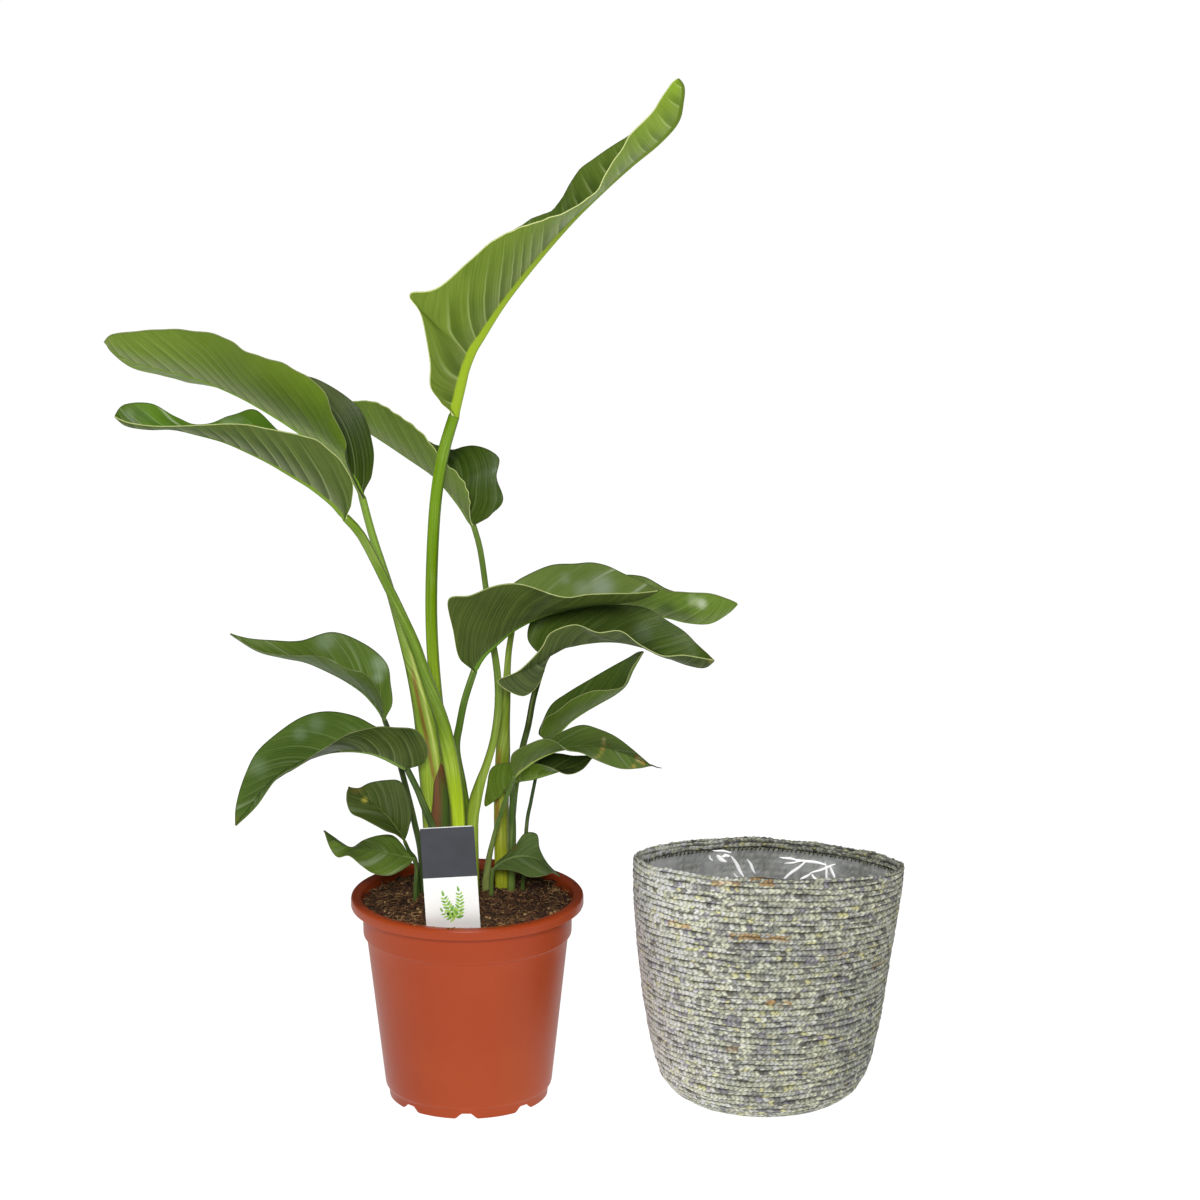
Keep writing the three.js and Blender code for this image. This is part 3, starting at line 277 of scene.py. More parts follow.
            [41, 239.5, 7, 46, 250, 18, 15, 235, 13], [47, 240.5, 6, 54, 255, 20, 19, 249, 13],
            [53, 242, 5, 62, 259, 20, 33, 252.5, 6], [60, 244, 4, 69, 259, 18, 48, 252, -5],
            [68, 246.5, 3, 77, 257.5, 14, 60, 249, -12], [77, 249, 2, 84, 257.5, 9, 73, 243.5, -13],
            [85, 253, 2, 89, 257.5, 5, 84, 247, -6], [92, 256.5, 2, 91.8, 256.8, 2.4, 91.6, 256.2, 1.6],
        ],
    },
    "leaf_left": {
        "to": -1, "bulge": 0.1,
        "stem": [
            [-32, 165, 11, 2.7, 2.7], [-34, 188, 10.5, 2.6, 2.6], [-37.4, 205, 9.5, 2.5, 2.5],
            [-40.5, 220, 8, 2.4, 2.4], [-47.7, 250, 6, 2.3, 2.3], [-53, 268, 6, 2.2, 2.2],
        ],
        "blade": [
            [-58.5, 284, 7, -57, 285, 9, -60, 285, 5], [-61, 290, 9, -53, 297, 21, -60.5, 297, -1],
            [-66, 297, 10, -54, 311, 29, -64, 308, -7], [-74, 305.5, 12, -57, 327, 33, -72.5, 319, -11],
            [-86, 314, 14, -72, 341, 35, -86, 323, -12], [-100, 321.5, 16, -95, 350, 34, -102, 331.5, -9],
            [-115, 328, 18, -119, 343.5, 31, -117, 332.5, -3],
            [-132, 331.5, 20, -140, 344, 28, -136, 333.5, 7],
            [-150, 336.5, 22, -156, 345.5, 26, -151, 337.5, 16],
            [-169, 349, 24, -168.6, 348.8, 24.5, -168.6, 348.4, 23.5],
        ],
    },
    "leaf_drooping": {
        "to": -1, "bulge": 0.12,
        "stem": [
            [-19, 165, -13, 3.2, 2.8], [-21, 190, -14, 3.1, 2.7], [-25.5, 206, -14, 3, 2.7],
            [-31, 220, -15, 2.8, 2.6], [-35.5, 232, -16, 2.6, 2.5],
        ],
        "blade": [
            [-43, 248, -17, -41.5, 250, -14.5, -40, 247, -19],
            [-47, 250, -18, -40, 258, -11, -30, 253, -24], [-52, 252.5, -19, -42, 267, -7, -28, 264, -28],
            [-60, 256.5, -20, -50, 274, -4, -36, 277, -32], [-70, 260, -21, -64, 279, 0, -52, 278.5, -38],
            [-84, 261.5, -22, -80, 287, 7, -68, 279, -44], [-100, 260, -24, -103, 291, 13, -86, 273, -50],
            [-116, 254.5, -26, -125, 282.5, 13, -105, 262, -50],
            [-131, 247, -28, -147.5, 265, 8, -120, 251, -46],
            [-145, 235, -30, -160.5, 243, -2, -137, 241, -42],
            [-158, 218, -31, -167.5, 220, -20, -153, 219, -38],
            [-168.5, 204.5, -32, -168.5, 205, -31, -168, 204.3, -33],
        ],
    },
    "leaf_ragged": {
        "to": -1, "bulge": -0.04,
        "stem": [
            [-36, 162, 4, 1.8, 1.8], [-37.5, 178, 5, 1.7, 1.7], [-42, 185, 1.5, 1.6, 1.6],
        ],
        "blade": [
            [-45, 192, -4, -44, 192.5, -5, -46, 192.5, -5], [-47, 196, -6, -42, 203, -10, -52, 198, -12],
            [-50, 201, -5, -40, 213, -12, -59, 200.5, -16], [-54, 207, -5, -42, 227, -13, -67, 205, -19],
            [-59, 213, -6, -48, 238, -13, -76, 210, -21], [-65, 219, -8, -58, 239, -14, -84, 214, -22],
            [-72, 224, -11, -70, 237, -16, -87, 222, -23], [-79, 229, -14, -78, 233, -18, -87, 229, -22],
            [-85.5, 233.5, -18, -85, 233.6, -18.6, -85.8, 233, -18.8],
        ],
    },
    "leaf_low_left": {
        "to": -1, "bulge": 0.06,
        "stem": [
            [-38, 155, -7, 1.8, 1.8], [-36.8, 171, -7, 1.7, 1.7],
        ],
        "blade": [
            [-38.5, 179, -8, -39, 181, -7, -39, 177.5, -10],
            [-44, 180, -9, -43, 184, -4.5, -42, 174.5, -16],
            [-51, 181.5, -10, -47, 190, 3, -48, 170.5, -24],
            [-59, 183.5, -12, -54, 197, 6, -57, 166.5, -30], [-68, 185.5, -14, -64, 197, 6, -68, 168, -34],
            [-77, 187, -16, -75, 193.5, 1, -77, 174, -36], [-85, 188, -18, -84, 188, -6, -86, 181.5, -32],
            [-92, 191, -19, -91, 191.5, -12, -94.5, 180.5, -28],
            [-98, 195, -20, -97, 196, -17, -100, 188, -25],
            [-104, 201, -21, -103.6, 200.8, -20.6, -103.8, 200, -21.4],
        ],
    },
    "leaf_over_soil": {
        "to": 1, "bulge": 0.06,
        "stem": [
            [17.5, 150, 6, 2, 2], [17.5, 162, 5, 1.9, 1.9],
        ],
        "blade": [
            [18.5, 170.5, 3, 18, 171.5, 5, 19.5, 170, 1], [22, 174, 2, 22, 177, 6, 24, 170.8, -4],
            [27, 177.5, 1, 28, 182, 8, 31, 170.5, -10], [33, 180, 0, 34.5, 188, 9, 38, 168.5, -16],
            [39, 181, -1, 42, 198.5, 12, 45, 165.5, -21], [45, 180.5, -2, 51, 198, 11, 52, 165.5, -23],
            [51, 178.5, -4, 53, 187, 6, 58, 167, -21], [57, 174.5, -6, 58.5, 176, -1, 62.5, 168.5, -15],
            [68, 166, -9, 67.6, 166.2, -8.6, 67.4, 165.8, -9.4],
        ],
    },
}

# How each leaf looks. First the colours of its upper face, its underside and its rib, and of
# its stem at the foot and at the top. "pleats" is the height of the folds along the veins and
# "pitch" their spacing, in millimetres. "slant" is how far a vein runs towards the tip for each
# millimetre away from the rib, "sheen" how grey the underside is beside the rib, "folds" how
# strongly the folds show in the colour, as painted shade in their valleys and painted light on
# their crests, and the last number how strongly streaks of painted highlight show on the upper face.
LOOK_KEYS = ("upper", "under", "rib", "foot", "top", "pleats", "slant", "pitch", "sheen", "folds", "painted_gloss")
LOOKS = {
    "leaf_tall": ["4f681e", "5e741f", "94ae24", "b1c92a", "719603", 0.9, 0.25, 14, 0.35, 0.9, 0.3],
    "leaf_upper_left": ["1c3202", "657f23", "779c29", "a6c034", "7f9e38", 0.35, 1.1, 13, 0.9, 0.55, 0.0],
    "leaf_lower_left": ["5b8620", "3f531a", "6f8c27", "c6e11c", "6b8921", 0.5, 1.0, 15, 0.8, 0.7, 0.8],
    "leaf_behind": ["324e06", "647d29", "728a44", "a7bf3d", "6d8832", 0.2, 0.9, 12, 0.7, 0.3, 0.15],
    "leaf_front_right": ["7a9248", "1c2f01", "5a7e22", "94b235", "55731f", 0.25, 0.7, 14, 0.1, 0.05, 0.9],
    "leaf_back_right": ["698038", "69862f", "7f9a44", "aeb52d", "829a2b", 0.25, 0.9, 12, 0.5, 0.35, 0.7],
    "leaf_low_right": ["3b5417", "2e3b1f", "617a2e", "8eb82d", "2f4211", 0.2, 0.7, 12, 0.3, 0.3, 0.15],
    "leaf_slim_right": ["3f591c", "556f1d", "748e40", "55692e", "33481c", 0.15, 1.0, 10, 0.2, 0.2, 0.15],
    "leaf_spotted": ["6b843f", "445c20", "8ea050", "aab468", "5f7a34", 0.25, 0.9, 10, 0.3, 0.3, 0.5],
    "leaf_wrapping": ["2b4010", "536f15", "6c8436", "788e40", "4c6628", 0.2, 0.8, 10, 0.2, 0.3, 0.15],
    "leaf_left": ["5f7b2c", "445f1b", "6a8440", "506630", "34481e", 0.35, 0.8, 12, 0.3, 0.45, 0.8],
    "leaf_drooping": ["597730", "22350d", "6f8840", "4e6630", "425a24", 0.5, 0.8, 13, 0.2, 0.45, 0.4],
    "leaf_ragged": ["2b4010", "25360f", "7d9048", "647a3a", "4c6428", 0.35, 0.7, 9, 0.1, 0.4, 0.15],
    "leaf_low_left": ["5e7a2d", "3f5626", "6e8640", "667c3c", "506a2e", 0.25, 0.8, 9, 0.2, 0.35, 0.5],
    "leaf_over_soil": ["536a3a", "566c36", "84985a", "7f924c", "6f8840", 0.2, 0.7, 9, 0.3, 0.3, 0.15],
}

# What most leaves share, and what is different on some: how the rib tapers and the stem melts
# into it, how pale the margin is, how wide the rib's colour reaches, how far the margin is
# ruffled, where the stem turns from its foot's colour to its top's, and how much painted light
# brightens or darkens the underside from place to place along the blade.
USUAL_LOOK = {
    "taper": 1.3, "melt": 0.6, "margin": 0.15, "band": 0.8, "ruffle": 0, "greens": (0.12, 0.75),
    "light": [(0, 1), (1, 1)],
}
OWN_LOOK = {
    "leaf_tall": {
        "taper": 0.8, "melt": 0.25, "margin": 0.95, "band": 1.3,
        "light": [(0, 0.3, 0.55, 0.75, 1), (1, 1.15, 1.25, 1.8, 2.6)],
    },
    "leaf_upper_left": {"margin": 0.3, "light": [(0, 0.3, 0.5, 0.7, 1), (1.3, 1.5, 1.1, 1, 1)]},
    "leaf_lower_left": {"greens": (0.2, 0.55), "margin": 0.6},
    "leaf_behind": {"ruffle": 0.5, "margin": 0.6},
    "leaf_front_right": {"margin": 0.5},
    "leaf_low_right": {"margin": 0.6},
    "leaf_slim_right": {"margin": 0.3},
}

# Spots and tinted places of each leaf, with painted shade and painted highlights on some: seen x, seen z,
# radius, colour, strength.
SPOTS_AND_PAINTED_LIGHT = {
    "leaf_spotted": [
        [99.7, 269.6, 1.4, "d8c694", 1.0], [99.7, 266.6, 1.3, "c9b069", 1.0],
        [98.8, 262.6, 1.6, "d0a85c", 1.0], [98, 260, 1.4, "a9b04a", 1.0],
        [96.2, 257.4, 1.6, "b4b556", 0.9], [94, 256, 1.2, "c2b860", 0.8], [103.6, 265, 1.0, "7a5a26", 0.8],
        [123.4, 256.4, 1.3, "b5612f", 0.9], [124.8, 254.6, 1.9, "dcc48c", 1.0],
        [127.4, 253, 1.7, "d3b26a", 1.0], [128.8, 251.6, 1.4, "c7a04e", 0.9],
        [121.6, 249.4, 1.7, "c9b05c", 0.9],
    ],
    "leaf_over_soil": [[34, 188, 2.4, "7c5a24", 0.9]],
    "leaf_ragged": [[-74, 224, 2.2, "c0b24a", 0.9], [-80, 233, 4.5, "6d5a2a", 0.8]],
    "leaf_low_left": [[-101, 197, 6.0, "27401c", 0.8]],
    "leaf_drooping": [[-167, 209, 3.0, "7c7a34", 0.7]],
    "leaf_upper_left": [[-251, 561, 4.0, "7c8a44", 0.6]],
    "leaf_low_right": [[178, 329, 3.0, "7d7a3a", 0.7]],
    # On this underside: painted shade along the lower edge and painted highlights in the middle.
    "leaf_back_right": [
        [145, 365, 7.0, "2c4410", 0.75], [157, 359, 8.0, "2c4410", 0.65], [164, 373, 4.0, "c4d2a8", 0.5],
        [170, 371, 3.5, "dfe8cc", 0.75],
    ],
    "leaf_lower_left": [[-238, 508, 13.0, "26400a", 0.6]],
}

# Painted highlights on the upper faces, written in the same way.
HIGHLIGHTS = {
    "leaf_left": [
        [-61, 326, 7, "b4c6b0", 0.5], [-63, 316, 4, "b4c6b0", 0.5], [-101, 343, 7, "a9bda3", 0.4],
    ],
    "leaf_drooping": [
        [-108, 281, 6, "a9bda3", 0.35], [-120, 274, 5, "a9bda3", 0.4], [-151, 249, 7, "a9bda3", 0.3],
    ],
    "leaf_front_right": [
        [98, 383, 9, "c3cfc2", 0.6], [84, 382, 6, "b4c6b0", 0.45], [72, 389, 4, "b4c6b0", 0.35],
    ],
    "leaf_lower_left": [
        [-237, 510, 4, "c3d6b6", 0.15], [-168, 503, 5, "b4c6a0", 0.45], [-160, 504, 4, "b4c6a0", 0.35],
    ],
    "leaf_low_right": [[128, 350, 7, "a9bda3", 0.25]],
}

# Stripes along a stem: leaf, places as seen x and seen z from the bottom up, half width,
# colour, strength.
STRIPES = [
    ["leaf_upper_left", [[-23, 236], [-25, 250], [-28, 268], [-32.4, 290], [-38.5, 322]],
     1.5, "8d5226", 0.75],
    ["leaf_back_right", [[22, 200], [22.5, 235], [24, 262]], 1.6, "a06a3a", 0.7],
    ["leaf_upper_left", [[-20, 240], [-22, 258], [-25.5, 278], [-30, 300], [-36, 322], [-40, 336]],
     1.0, "ccd672", 0.9],
]


def linear(code):
    """A colour written as six hexadecimal digits, as the shader wants it."""
    parts = [int(code[i:i + 2], 16) / 255 for i in (0, 2, 4)]
    return (*[p / 12.92 if p <= 0.04045 else ((p + 0.055) / 1.055) ** 2.4 for p in parts], 1.0)


def shaded(code, level):
    """The colour made darker or lighter by this factor."""
    red, green, blue, _ = linear(code)
    return (red * level, green * level, blue * level, 1)


def tinted(colours, code, amount):
    """The colours moved towards another one, by this much at each point."""
    amount = np.reshape(amount, (-1, 1))
    mixed = colours.copy()
    mixed[:, :3] = colours[:, :3] * (1 - amount) + np.array(linear(code))[:3] * amount
    return mixed


def placed(x, z, y):
    """The point that is y behind the plane through the pot's axis and is seen at x and z."""
    away = 1 - y / EYE[1]
    return np.array([EYE[0] + (x - EYE[0]) * away, y, EYE[2] + (z - EYE[2]) * away])


def seen(points):
    """Where the person in front sees these points, as x and z."""
    away = 1 - points[..., 1] / EYE[1]
    return (points[..., 0] - EYE[0]) / away + EYE[0], (points[..., 2] - EYE[2]) / away + EYE[2]


def unit(v):
    return v / np.maximum(np.linalg.norm(v, axis=-1, keepdims=True), 1e-9)


def smooth(low, high, value):
    """Rises smoothly from 0 to 1 while the value goes from low to high."""
    t = np.clip((value - low) / (high - low), 0, 1)
    return t * t * (3 - 2 * t)


def along(rows, t):
    """The row at this place of a smooth curve through all the rows."""
    last = len(rows) - 1
    i = min(int(t), last - 1)
    w = t - i
    near = (max(i - 1, 0), i, i + 1, min(i + 2, last))
    before, start, end, after = (np.array(rows[k], float) for k in near)
    leaving = (end - before) / 2
    arriving = (after - start) / 2
    bend = 2 * (start - end) + leaving + arriving
    sag = 3 * (end - start) - 2 * leaving - arriving
    return start + w * (leaving + w * (sag + w * bend))


def run_along(points):
    """How far each point is from the first one, along the line through them all."""
    steps = np.linalg.norm(np.diff(points, axis=0), axis=1)
    return np.concatenate([[0], np.cumsum(steps)])


def turns(count):
    return 2 * np.pi * np.arange(count) / count


def circle(radius, angles, height, middle=0.0):
    """Points round an upright axis, at this height or these heights."""
    heights = np.full(len(angles), 1.0) * height
    return np.stack([middle + radius * np.cos(angles), radius * np.sin(angles), heights], -1)


def in_metres(points):
    """The points in metres, in the frame of the whole object."""
    return (np.asarray(points, float) + POT_AXIS) * MM


def ring_faces(rows, count, ends=True, inside=False):
    """Faces of a tube of rings, outward for rings that turn anticlockwise seen from above."""
    faces = []
    for i in range(rows - 1):
        for k in range(count):
            a, b = i * count + k, i * count + (k + 1) % count
            faces.append((a, b, b + count, a + count))
    if ends:
        faces.append(tuple(range(count))[::-1])
        faces.append(tuple(range((rows - 1) * count, rows * count)))
    return [face[::-1] for face in faces] if inside else faces


def add_shape(points, faces, more_points, more_faces):
    """Adds one small shape to a piece that holds many of them."""
    first = len(points)
    points.extend(more_points)
    faces.extend(tuple(first + i for i in face) for face in more_faces)


def mesh_object(name, points, faces, materials, material_of=None, smooth_faces=True):
    """A mesh piece from points, or rings of points, in millimetres from the pot's axis."""
    mesh = bpy.data.meshes.new(name)
    mesh.from_pydata(in_metres(np.reshape(points, (-1, 3))).tolist(), [], faces)
    for material in materials:
        mesh.materials.append(material)
    if material_of is not None:
        mesh.polygons.foreach_set("material_index", material_of)
    mesh.polygons.foreach_set("use_smooth", [smooth_faces] * len(mesh.polygons))
    mesh.validate()
    mesh.update()
    piece = bpy.data.objects.new(name, mesh)
    bpy.context.scene.collection.objects.link(piece)
    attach(piece, BODY)
    return piece


def face_outward(piece):
    """Turns every face outward."""
    shape = bmesh.new()
    shape.from_mesh(piece.data)
    bmesh.ops.recalc_face_normals(shape, faces=shape.faces)
    shape.to_mesh(piece.data)
    shape.free()


def corner_points(mesh):
    """The point number of every corner of every face."""
    corners = np.empty(len(mesh.loops), dtype=np.int32)
    mesh.loops.foreach_get("vertex_index", corners)
    return corners


def give_uv(piece, name, values):
    """values: two numbers for each point."""
    mesh = piece.data
    layer = mesh.uv_layers.new(name=name)
    layer.data.foreach_set("uv", np.reshape(values, (-1, 2))[corner_points(mesh)].ravel())


def give_colour(piece, name, values, by_corner=False):
    """values: four numbers for each point, kept at the points or at the corners of faces."""
    mesh = piece.data
    values = np.reshape(values, (-1, 4))
    if by_corner:
        values = values[corner_points(mesh)]
    domain = "CORNER" if by_corner else "POINT"
    layer = mesh.color_attributes.new(name=name, type="FLOAT_COLOR", domain=domain)
    layer.data.foreach_set("color", values.ravel())


# Materials

class Nodes:
    """Short names for making a material's nodes."""

    def __init__(self, name):
        self.material = bpy.data.materials.new(name)
        self.material.use_nodes = True
        self.tree = self.material.node_tree
        self.shader = self.tree.nodes["Principled BSDF"]

    def fill(self, node, values):
        """Sets or links inputs of a node, by their names or numbers."""
        for key, value in values.items():
            if isinstance(value, bpy.types.NodeSocket):
                self.tree.links.new(value, node.inputs[key])
            else:
                node.inputs[key].default_value = value

    def add(self, kind, values=None, **settings):
        node = self.tree.nodes.new("ShaderNode" + kind)
        for key, value in settings.items():
            setattr(node, key, value)
        self.fill(node, values or {})
        return node.outputs

    def math(self, operation, a, b=0.0):
        return self.add("Math", {0: a, 1: b}, operation=operation)[0]

    def times(self, product, *factors):
        for factor in factors:
            product = self.math("MULTIPLY", product, factor)
        return product

    def between(self, value, low, high, to_low=0.0, to_high=1.0):
        """Goes smoothly from one value to another while the input goes from low to high."""
        values = {"Value": value, "From Min": low, "From Max": high, "To Min": to_low, "To Max": to_high}
        return self.add("MapRange", values, interpolation_type="SMOOTHSTEP")[0]

    def mix(self, factor, a, b, blend="MIX"):
        return self.add("Mix", {0: factor, 6: a, 7: b}, data_type="RGBA", blend_type=blend)[2]

    def darker(self, colour, red, green, blue):
        return self.mix(1.0, colour, (red, green, blue, 1), "MULTIPLY")

    def tones(self, cloud, code, other):
        """Two colours in soft patches."""
        return self.mix(self.between(cloud, 0.3, 0.7), linear(code), linear(other))

    def noise(self, scale, detail=3.0, place=None):
        if place is None:
            place = self.add("TexCoord")["Object"]
        values = {"Scale": scale, "Detail": detail, "Roughness": 0.55, "Vector": place}
        return self.add("TexNoise", values)["Fac"]

    def streaks(self, run, across, run_scale, across_scale, detail):
        """Noise that is drawn out along one direction."""
        values = {0: self.times(run, run_scale), 1: self.times(across, across_scale)}
        return self.noise(1.0, detail, self.add("CombineXYZ", values)[0])

    def uv(self, name):
        return self.add("SeparateXYZ", {0: self.add("UVMap", uv_map=name)[0]})[:2]

    def attribute(self, name):
        outputs = self.add("Attribute", attribute_name=name)
        return outputs["Color"], outputs["Alpha"]

    def traits(self, name):
        """The four numbers of a colour attribute."""
        colour, alpha = self.attribute(name)
        return (*self.add("SeparateXYZ", {0: colour}), alpha)

    def bump(self, height, distance, strength):
        values = {"Strength": strength, "Distance": distance, "Height": height}
        self.fill(self.shader, {"Normal": self.add("Bump", values)[0]})

    def set(self, **values):
        self.fill(self.shader, {key.replace("_", " "): value for key, value in values.items()})


def blade_material(name, upper):
    """Leaf blade: veins leaving the rib, folds with painted shade and painted light, painted highlight
    streaks above, a grey sheen beside the rib below, painted shade at the edges, a pale margin and a pale
    rib.
    """
    n = Nodes(name)
    tint, sheen = n.attribute("tint")
    run, out = n.uv("veins")
    edge, rib = n.uv("marks")
    fold, share = n.uv("folds")
    strength, pale_margin, edge_shade, painted_gloss = n.traits("traits")
    fine = n.streaks(run, out, 75.0, 2.0, 2.0)
    glow = n.streaks(run, out, 7.0, 1.2, 2.0)
    cloud = n.noise(16.0, 4.0)
    place = n.math("FRACT", fold)
    # Painted light on each fold's crest and painted shade in its valley, fading towards the margin.
    crest = n.times(n.between(place, 0.74, 0.81), n.between(place, 0.88, 0.84))
    valley = n.math("MAXIMUM", n.between(place, 0.85, 0.93), n.between(place, 0.5, 0.0))
    fade = n.times(n.between(share, 1.0, 0.3), strength)
    darker = n.darker(tint, 0.62, 0.66, 0.55)
    brighter = n.mix(0.2, tint, linear("b9cc62"))
    base = n.mix(n.between(cloud, 0.32, 0.68), n.mix(0.45, tint, darker), n.mix(0.5, tint, brighter))
    lined = n.mix(n.between(fine, 0.35, 0.65, 0.0, 0.4), n.mix(0.35, base, darker), brighter)
    # Streaks of painted highlight on the upper face, a grey sheen beside the rib underneath.
    if upper:
        shine = n.times(n.between(glow, 0.55, 0.72), painted_gloss, 0.75)
        grey = n.mix(shine, lined, linear("bccaa6"))
    else:
        beside = n.times(n.between(share, 0.5, 0.0), sheen)
        streaked = n.times(beside, n.between(fine, 0.3, 0.65, 0.5, 0.95), 0.8)
        grey = n.mix(streaked, lined, linear("7f8468"))
    deep = n.mix(0.9, grey, n.darker(tint, 0.42, 0.47, 0.4))
    fold_shaded = n.mix(n.times(valley, fade, 0.85), grey, deep)
    crest_lit = n.mix(n.times(crest, fade, 0.75), fold_shaded, n.mix(0.4, tint, linear("c3d096")))
    near_rib = n.mix(n.between(rib, 1.25, 0.8), crest_lit, n.attribute("rib")[0])
    # Painted shade along the edges of the blade.
    dim = n.mix(n.times(n.between(edge, 0.14, 0.04), edge_shade), near_rib, linear("2c3610"))
    finished = n.mix(n.times(n.between(edge, 0.07, 0.035), pale_margin), dim, linear("ccd58c"))
    low, high = (0.3, 0.42) if upper else (0.42, 0.55)
    n.set(Base_Color=finished, Roughness=n.between(glow, 0.7, 0.4, low, high))
    n.set(Specular_IOR_Level=0.22 if upper else 0.12)
    n.bump(n.math("ADD", fine, n.times(n.noise(240.0), 0.5)), 0.0005, 0.55)
    return n.material


def stem_material():
    n = Nodes("leaf_stalk")
    tint, _ = n.attribute("tint")
    run, around = n.uv("veins")
    streaks = n.streaks(run, around, 1.6, 60.0, 3.0)
    cloud = n.noise(30.0)
    light = n.mix(n.between(cloud, 0.45, 0.7), tint, n.mix(0.18, tint, linear("d2dc8c")))
    n.set(Base_Color=n.mix(n.between(streaks, 0.35, 0.65), n.darker(tint, 0.7, 0.74, 0.66), light))
    n.set(Roughness=n.between(cloud, 0.3, 0.7, 0.36, 0.5), Specular_IOR_Level=0.22)
    n.bump(streaks, 0.0003, 0.5)
    return n.material


LEAF_UPPER = blade_material("leaf_upper", True)
LEAF_UNDER = blade_material("leaf_under", False)
STALK = stem_material()

# Leaves

WING_COLUMNS = 13
BLADE_STATIONS = 116
STEM_STATIONS = 34
STEM_GROOVE = 0.25
RIB_TIP_HALF = 0.7
# How much of a fold's length its slow rise takes, before it drops back.
FOLD_RISE = 0.82
UV_UNIT = 100


def wing_shares():
    """Distance from the rib of each column of a wing, 1 at the margin, margin first."""
    shares = [(k / WING_COLUMNS) ** 1.5 for k in range(1, WING_COLUMNS)]
    return np.array([1.0, 0.988, *shares[::-1]])


def stem_ring(centre, direction, to, half_width, half_depth, count):
    """A section of the stem, with a shallow groove along its upper side."""
    far = np.array([0.0, 1.0, 0.0])
    far = unit(far - direction * far.dot(direction))
    up = np.cross(direction, far) * to
    angle = turns(count) + np.pi / count
    lift = np.sin(angle) - STEM_GROOVE * np.exp(-((angle - np.pi / 2) / 0.5) ** 2)
    return centre + np.outer(half_depth * np.cos(angle), far) + np.outer(half_width * lift, up)


def blade_grid(leaf, places):
    """Points across the blade at each place, far margin to near margin."""
    shares = wing_shares()
    grid, widths = [], []
    for t in places:
        row = along(leaf["blade"], t)
        rib = placed(*row[0:3])
        wings = []
        for side, margin in ((1, placed(*row[3:6])), (-1, placed(*row[6:9]))):
            width = np.linalg.norm(margin - rib)
            belly = np.array([0, 0.6 * side, -0.8]) * leaf["bulge"] * width + (rib + margin) / 2
            s = shares[:, None]
            wings.append(rib * (1 - s) ** 2 + belly * 2 * s * (1 - s) + margin * s * s)
            widths.append(width)
        grid.append(np.concatenate([wings[0], rib[None, :], wings[1][::-1]]))
    return np.array(grid), np.array(widths).reshape(-1, 2)


def both_faces(values, other=None):
    """Values across the upper face and then back across the underside."""
    other = values if other is None else other
    return np.concatenate([values, other[:, ::-1]], axis=1)


def leaf_faces(stems, total, columns, to):
    """Faces of the stem and the blade, and whether each is stem, upper face or underside."""
    count = 2 * columns
    faces = ring_faces(total, count)
    if to > 0:
        quads = [(a, d, c, b) for a, b, c, d in faces[:-2]]
        faces = quads + [cap[::-1] for cap in faces[-2:]]
    of_blade = [1] * columns + [2] * columns
    kinds = [0] * count * (stems - 1) + of_blade * (total - stems) + [0, 1]
    return faces, kinds


def blade_waves(look, rng, run, out, width, s, side):
    """How far folds along the veins and slow waves lift the blade, and where each fold is."""
    vein = run - look["slant"] * out * (1 + 0.25 * s)
    uneven = 0.22 * np.sin(vein / 23.0 + rng.uniform(0, 6)) + 0.15 * np.sin(vein / 9.7 + rng.uniform(0, 6))
    phase = vein / look["pitch"] + uneven + 0.37 * (side > 0) + 40
    ramp = phase % 1
    profile = np.where(ramp < FOLD_RISE, ramp / FOLD_RISE, (1 - ramp) / (1 - FOLD_RISE)) - 0.5
    fading = smooth(0, 10, width - out + 1) * smooth(6, 30, width)
    fold = profile * look["pleats"] * np.sqrt(np.clip(s * 2.2, 0, 1)) * fading
    wave = np.zeros_like(out)
    for _ in range(3):
        length = rng.uniform(16, 44)
        start = rng.uniform(0, 6.28)
        wave += np.sin(run / length * 2 * np.pi + start + side * 1.7) * 0.28
    wave *= (s ** 3) * smooth(15, 50, width)
    wave += look["ruffle"] * np.sin(run / 9.5 * 2 * np.pi + side) * s ** 6 * smooth(6, 20, width)
    return fold + wave, vein, phase


def with_spots_and_painted_light(name, colours, points, above, front):
    """The colours with the leaf's spots, painted shade, painted highlights and stripes added."""
    x, z = seen(points)
    for spots, where in ((SPOTS_AND_PAINTED_LIGHT, 1), (HIGHLIGHTS, above)):
        for spot_x, spot_z, radius, code, strength in spots.get(name, []):
            fall = np.exp(-(((x - spot_x) ** 2 + (z - spot_z) ** 2) / radius ** 2) ** 1.5)
            colours = tinted(colours, code, strength * where * fall)
    for target, path, half, code, strength in STRIPES:
        if target == name:
            across, up = np.array(path, float).T
            off = (x - np.interp(z, up, across)) / half
            ends = smooth(up[0] - 4, up[0] + 8, z) * smooth(up[-1] + 4, up[-1] - 6, z)
            colours = tinted(colours, code, strength * np.exp(-off ** 4) * ends * front)
    return colours


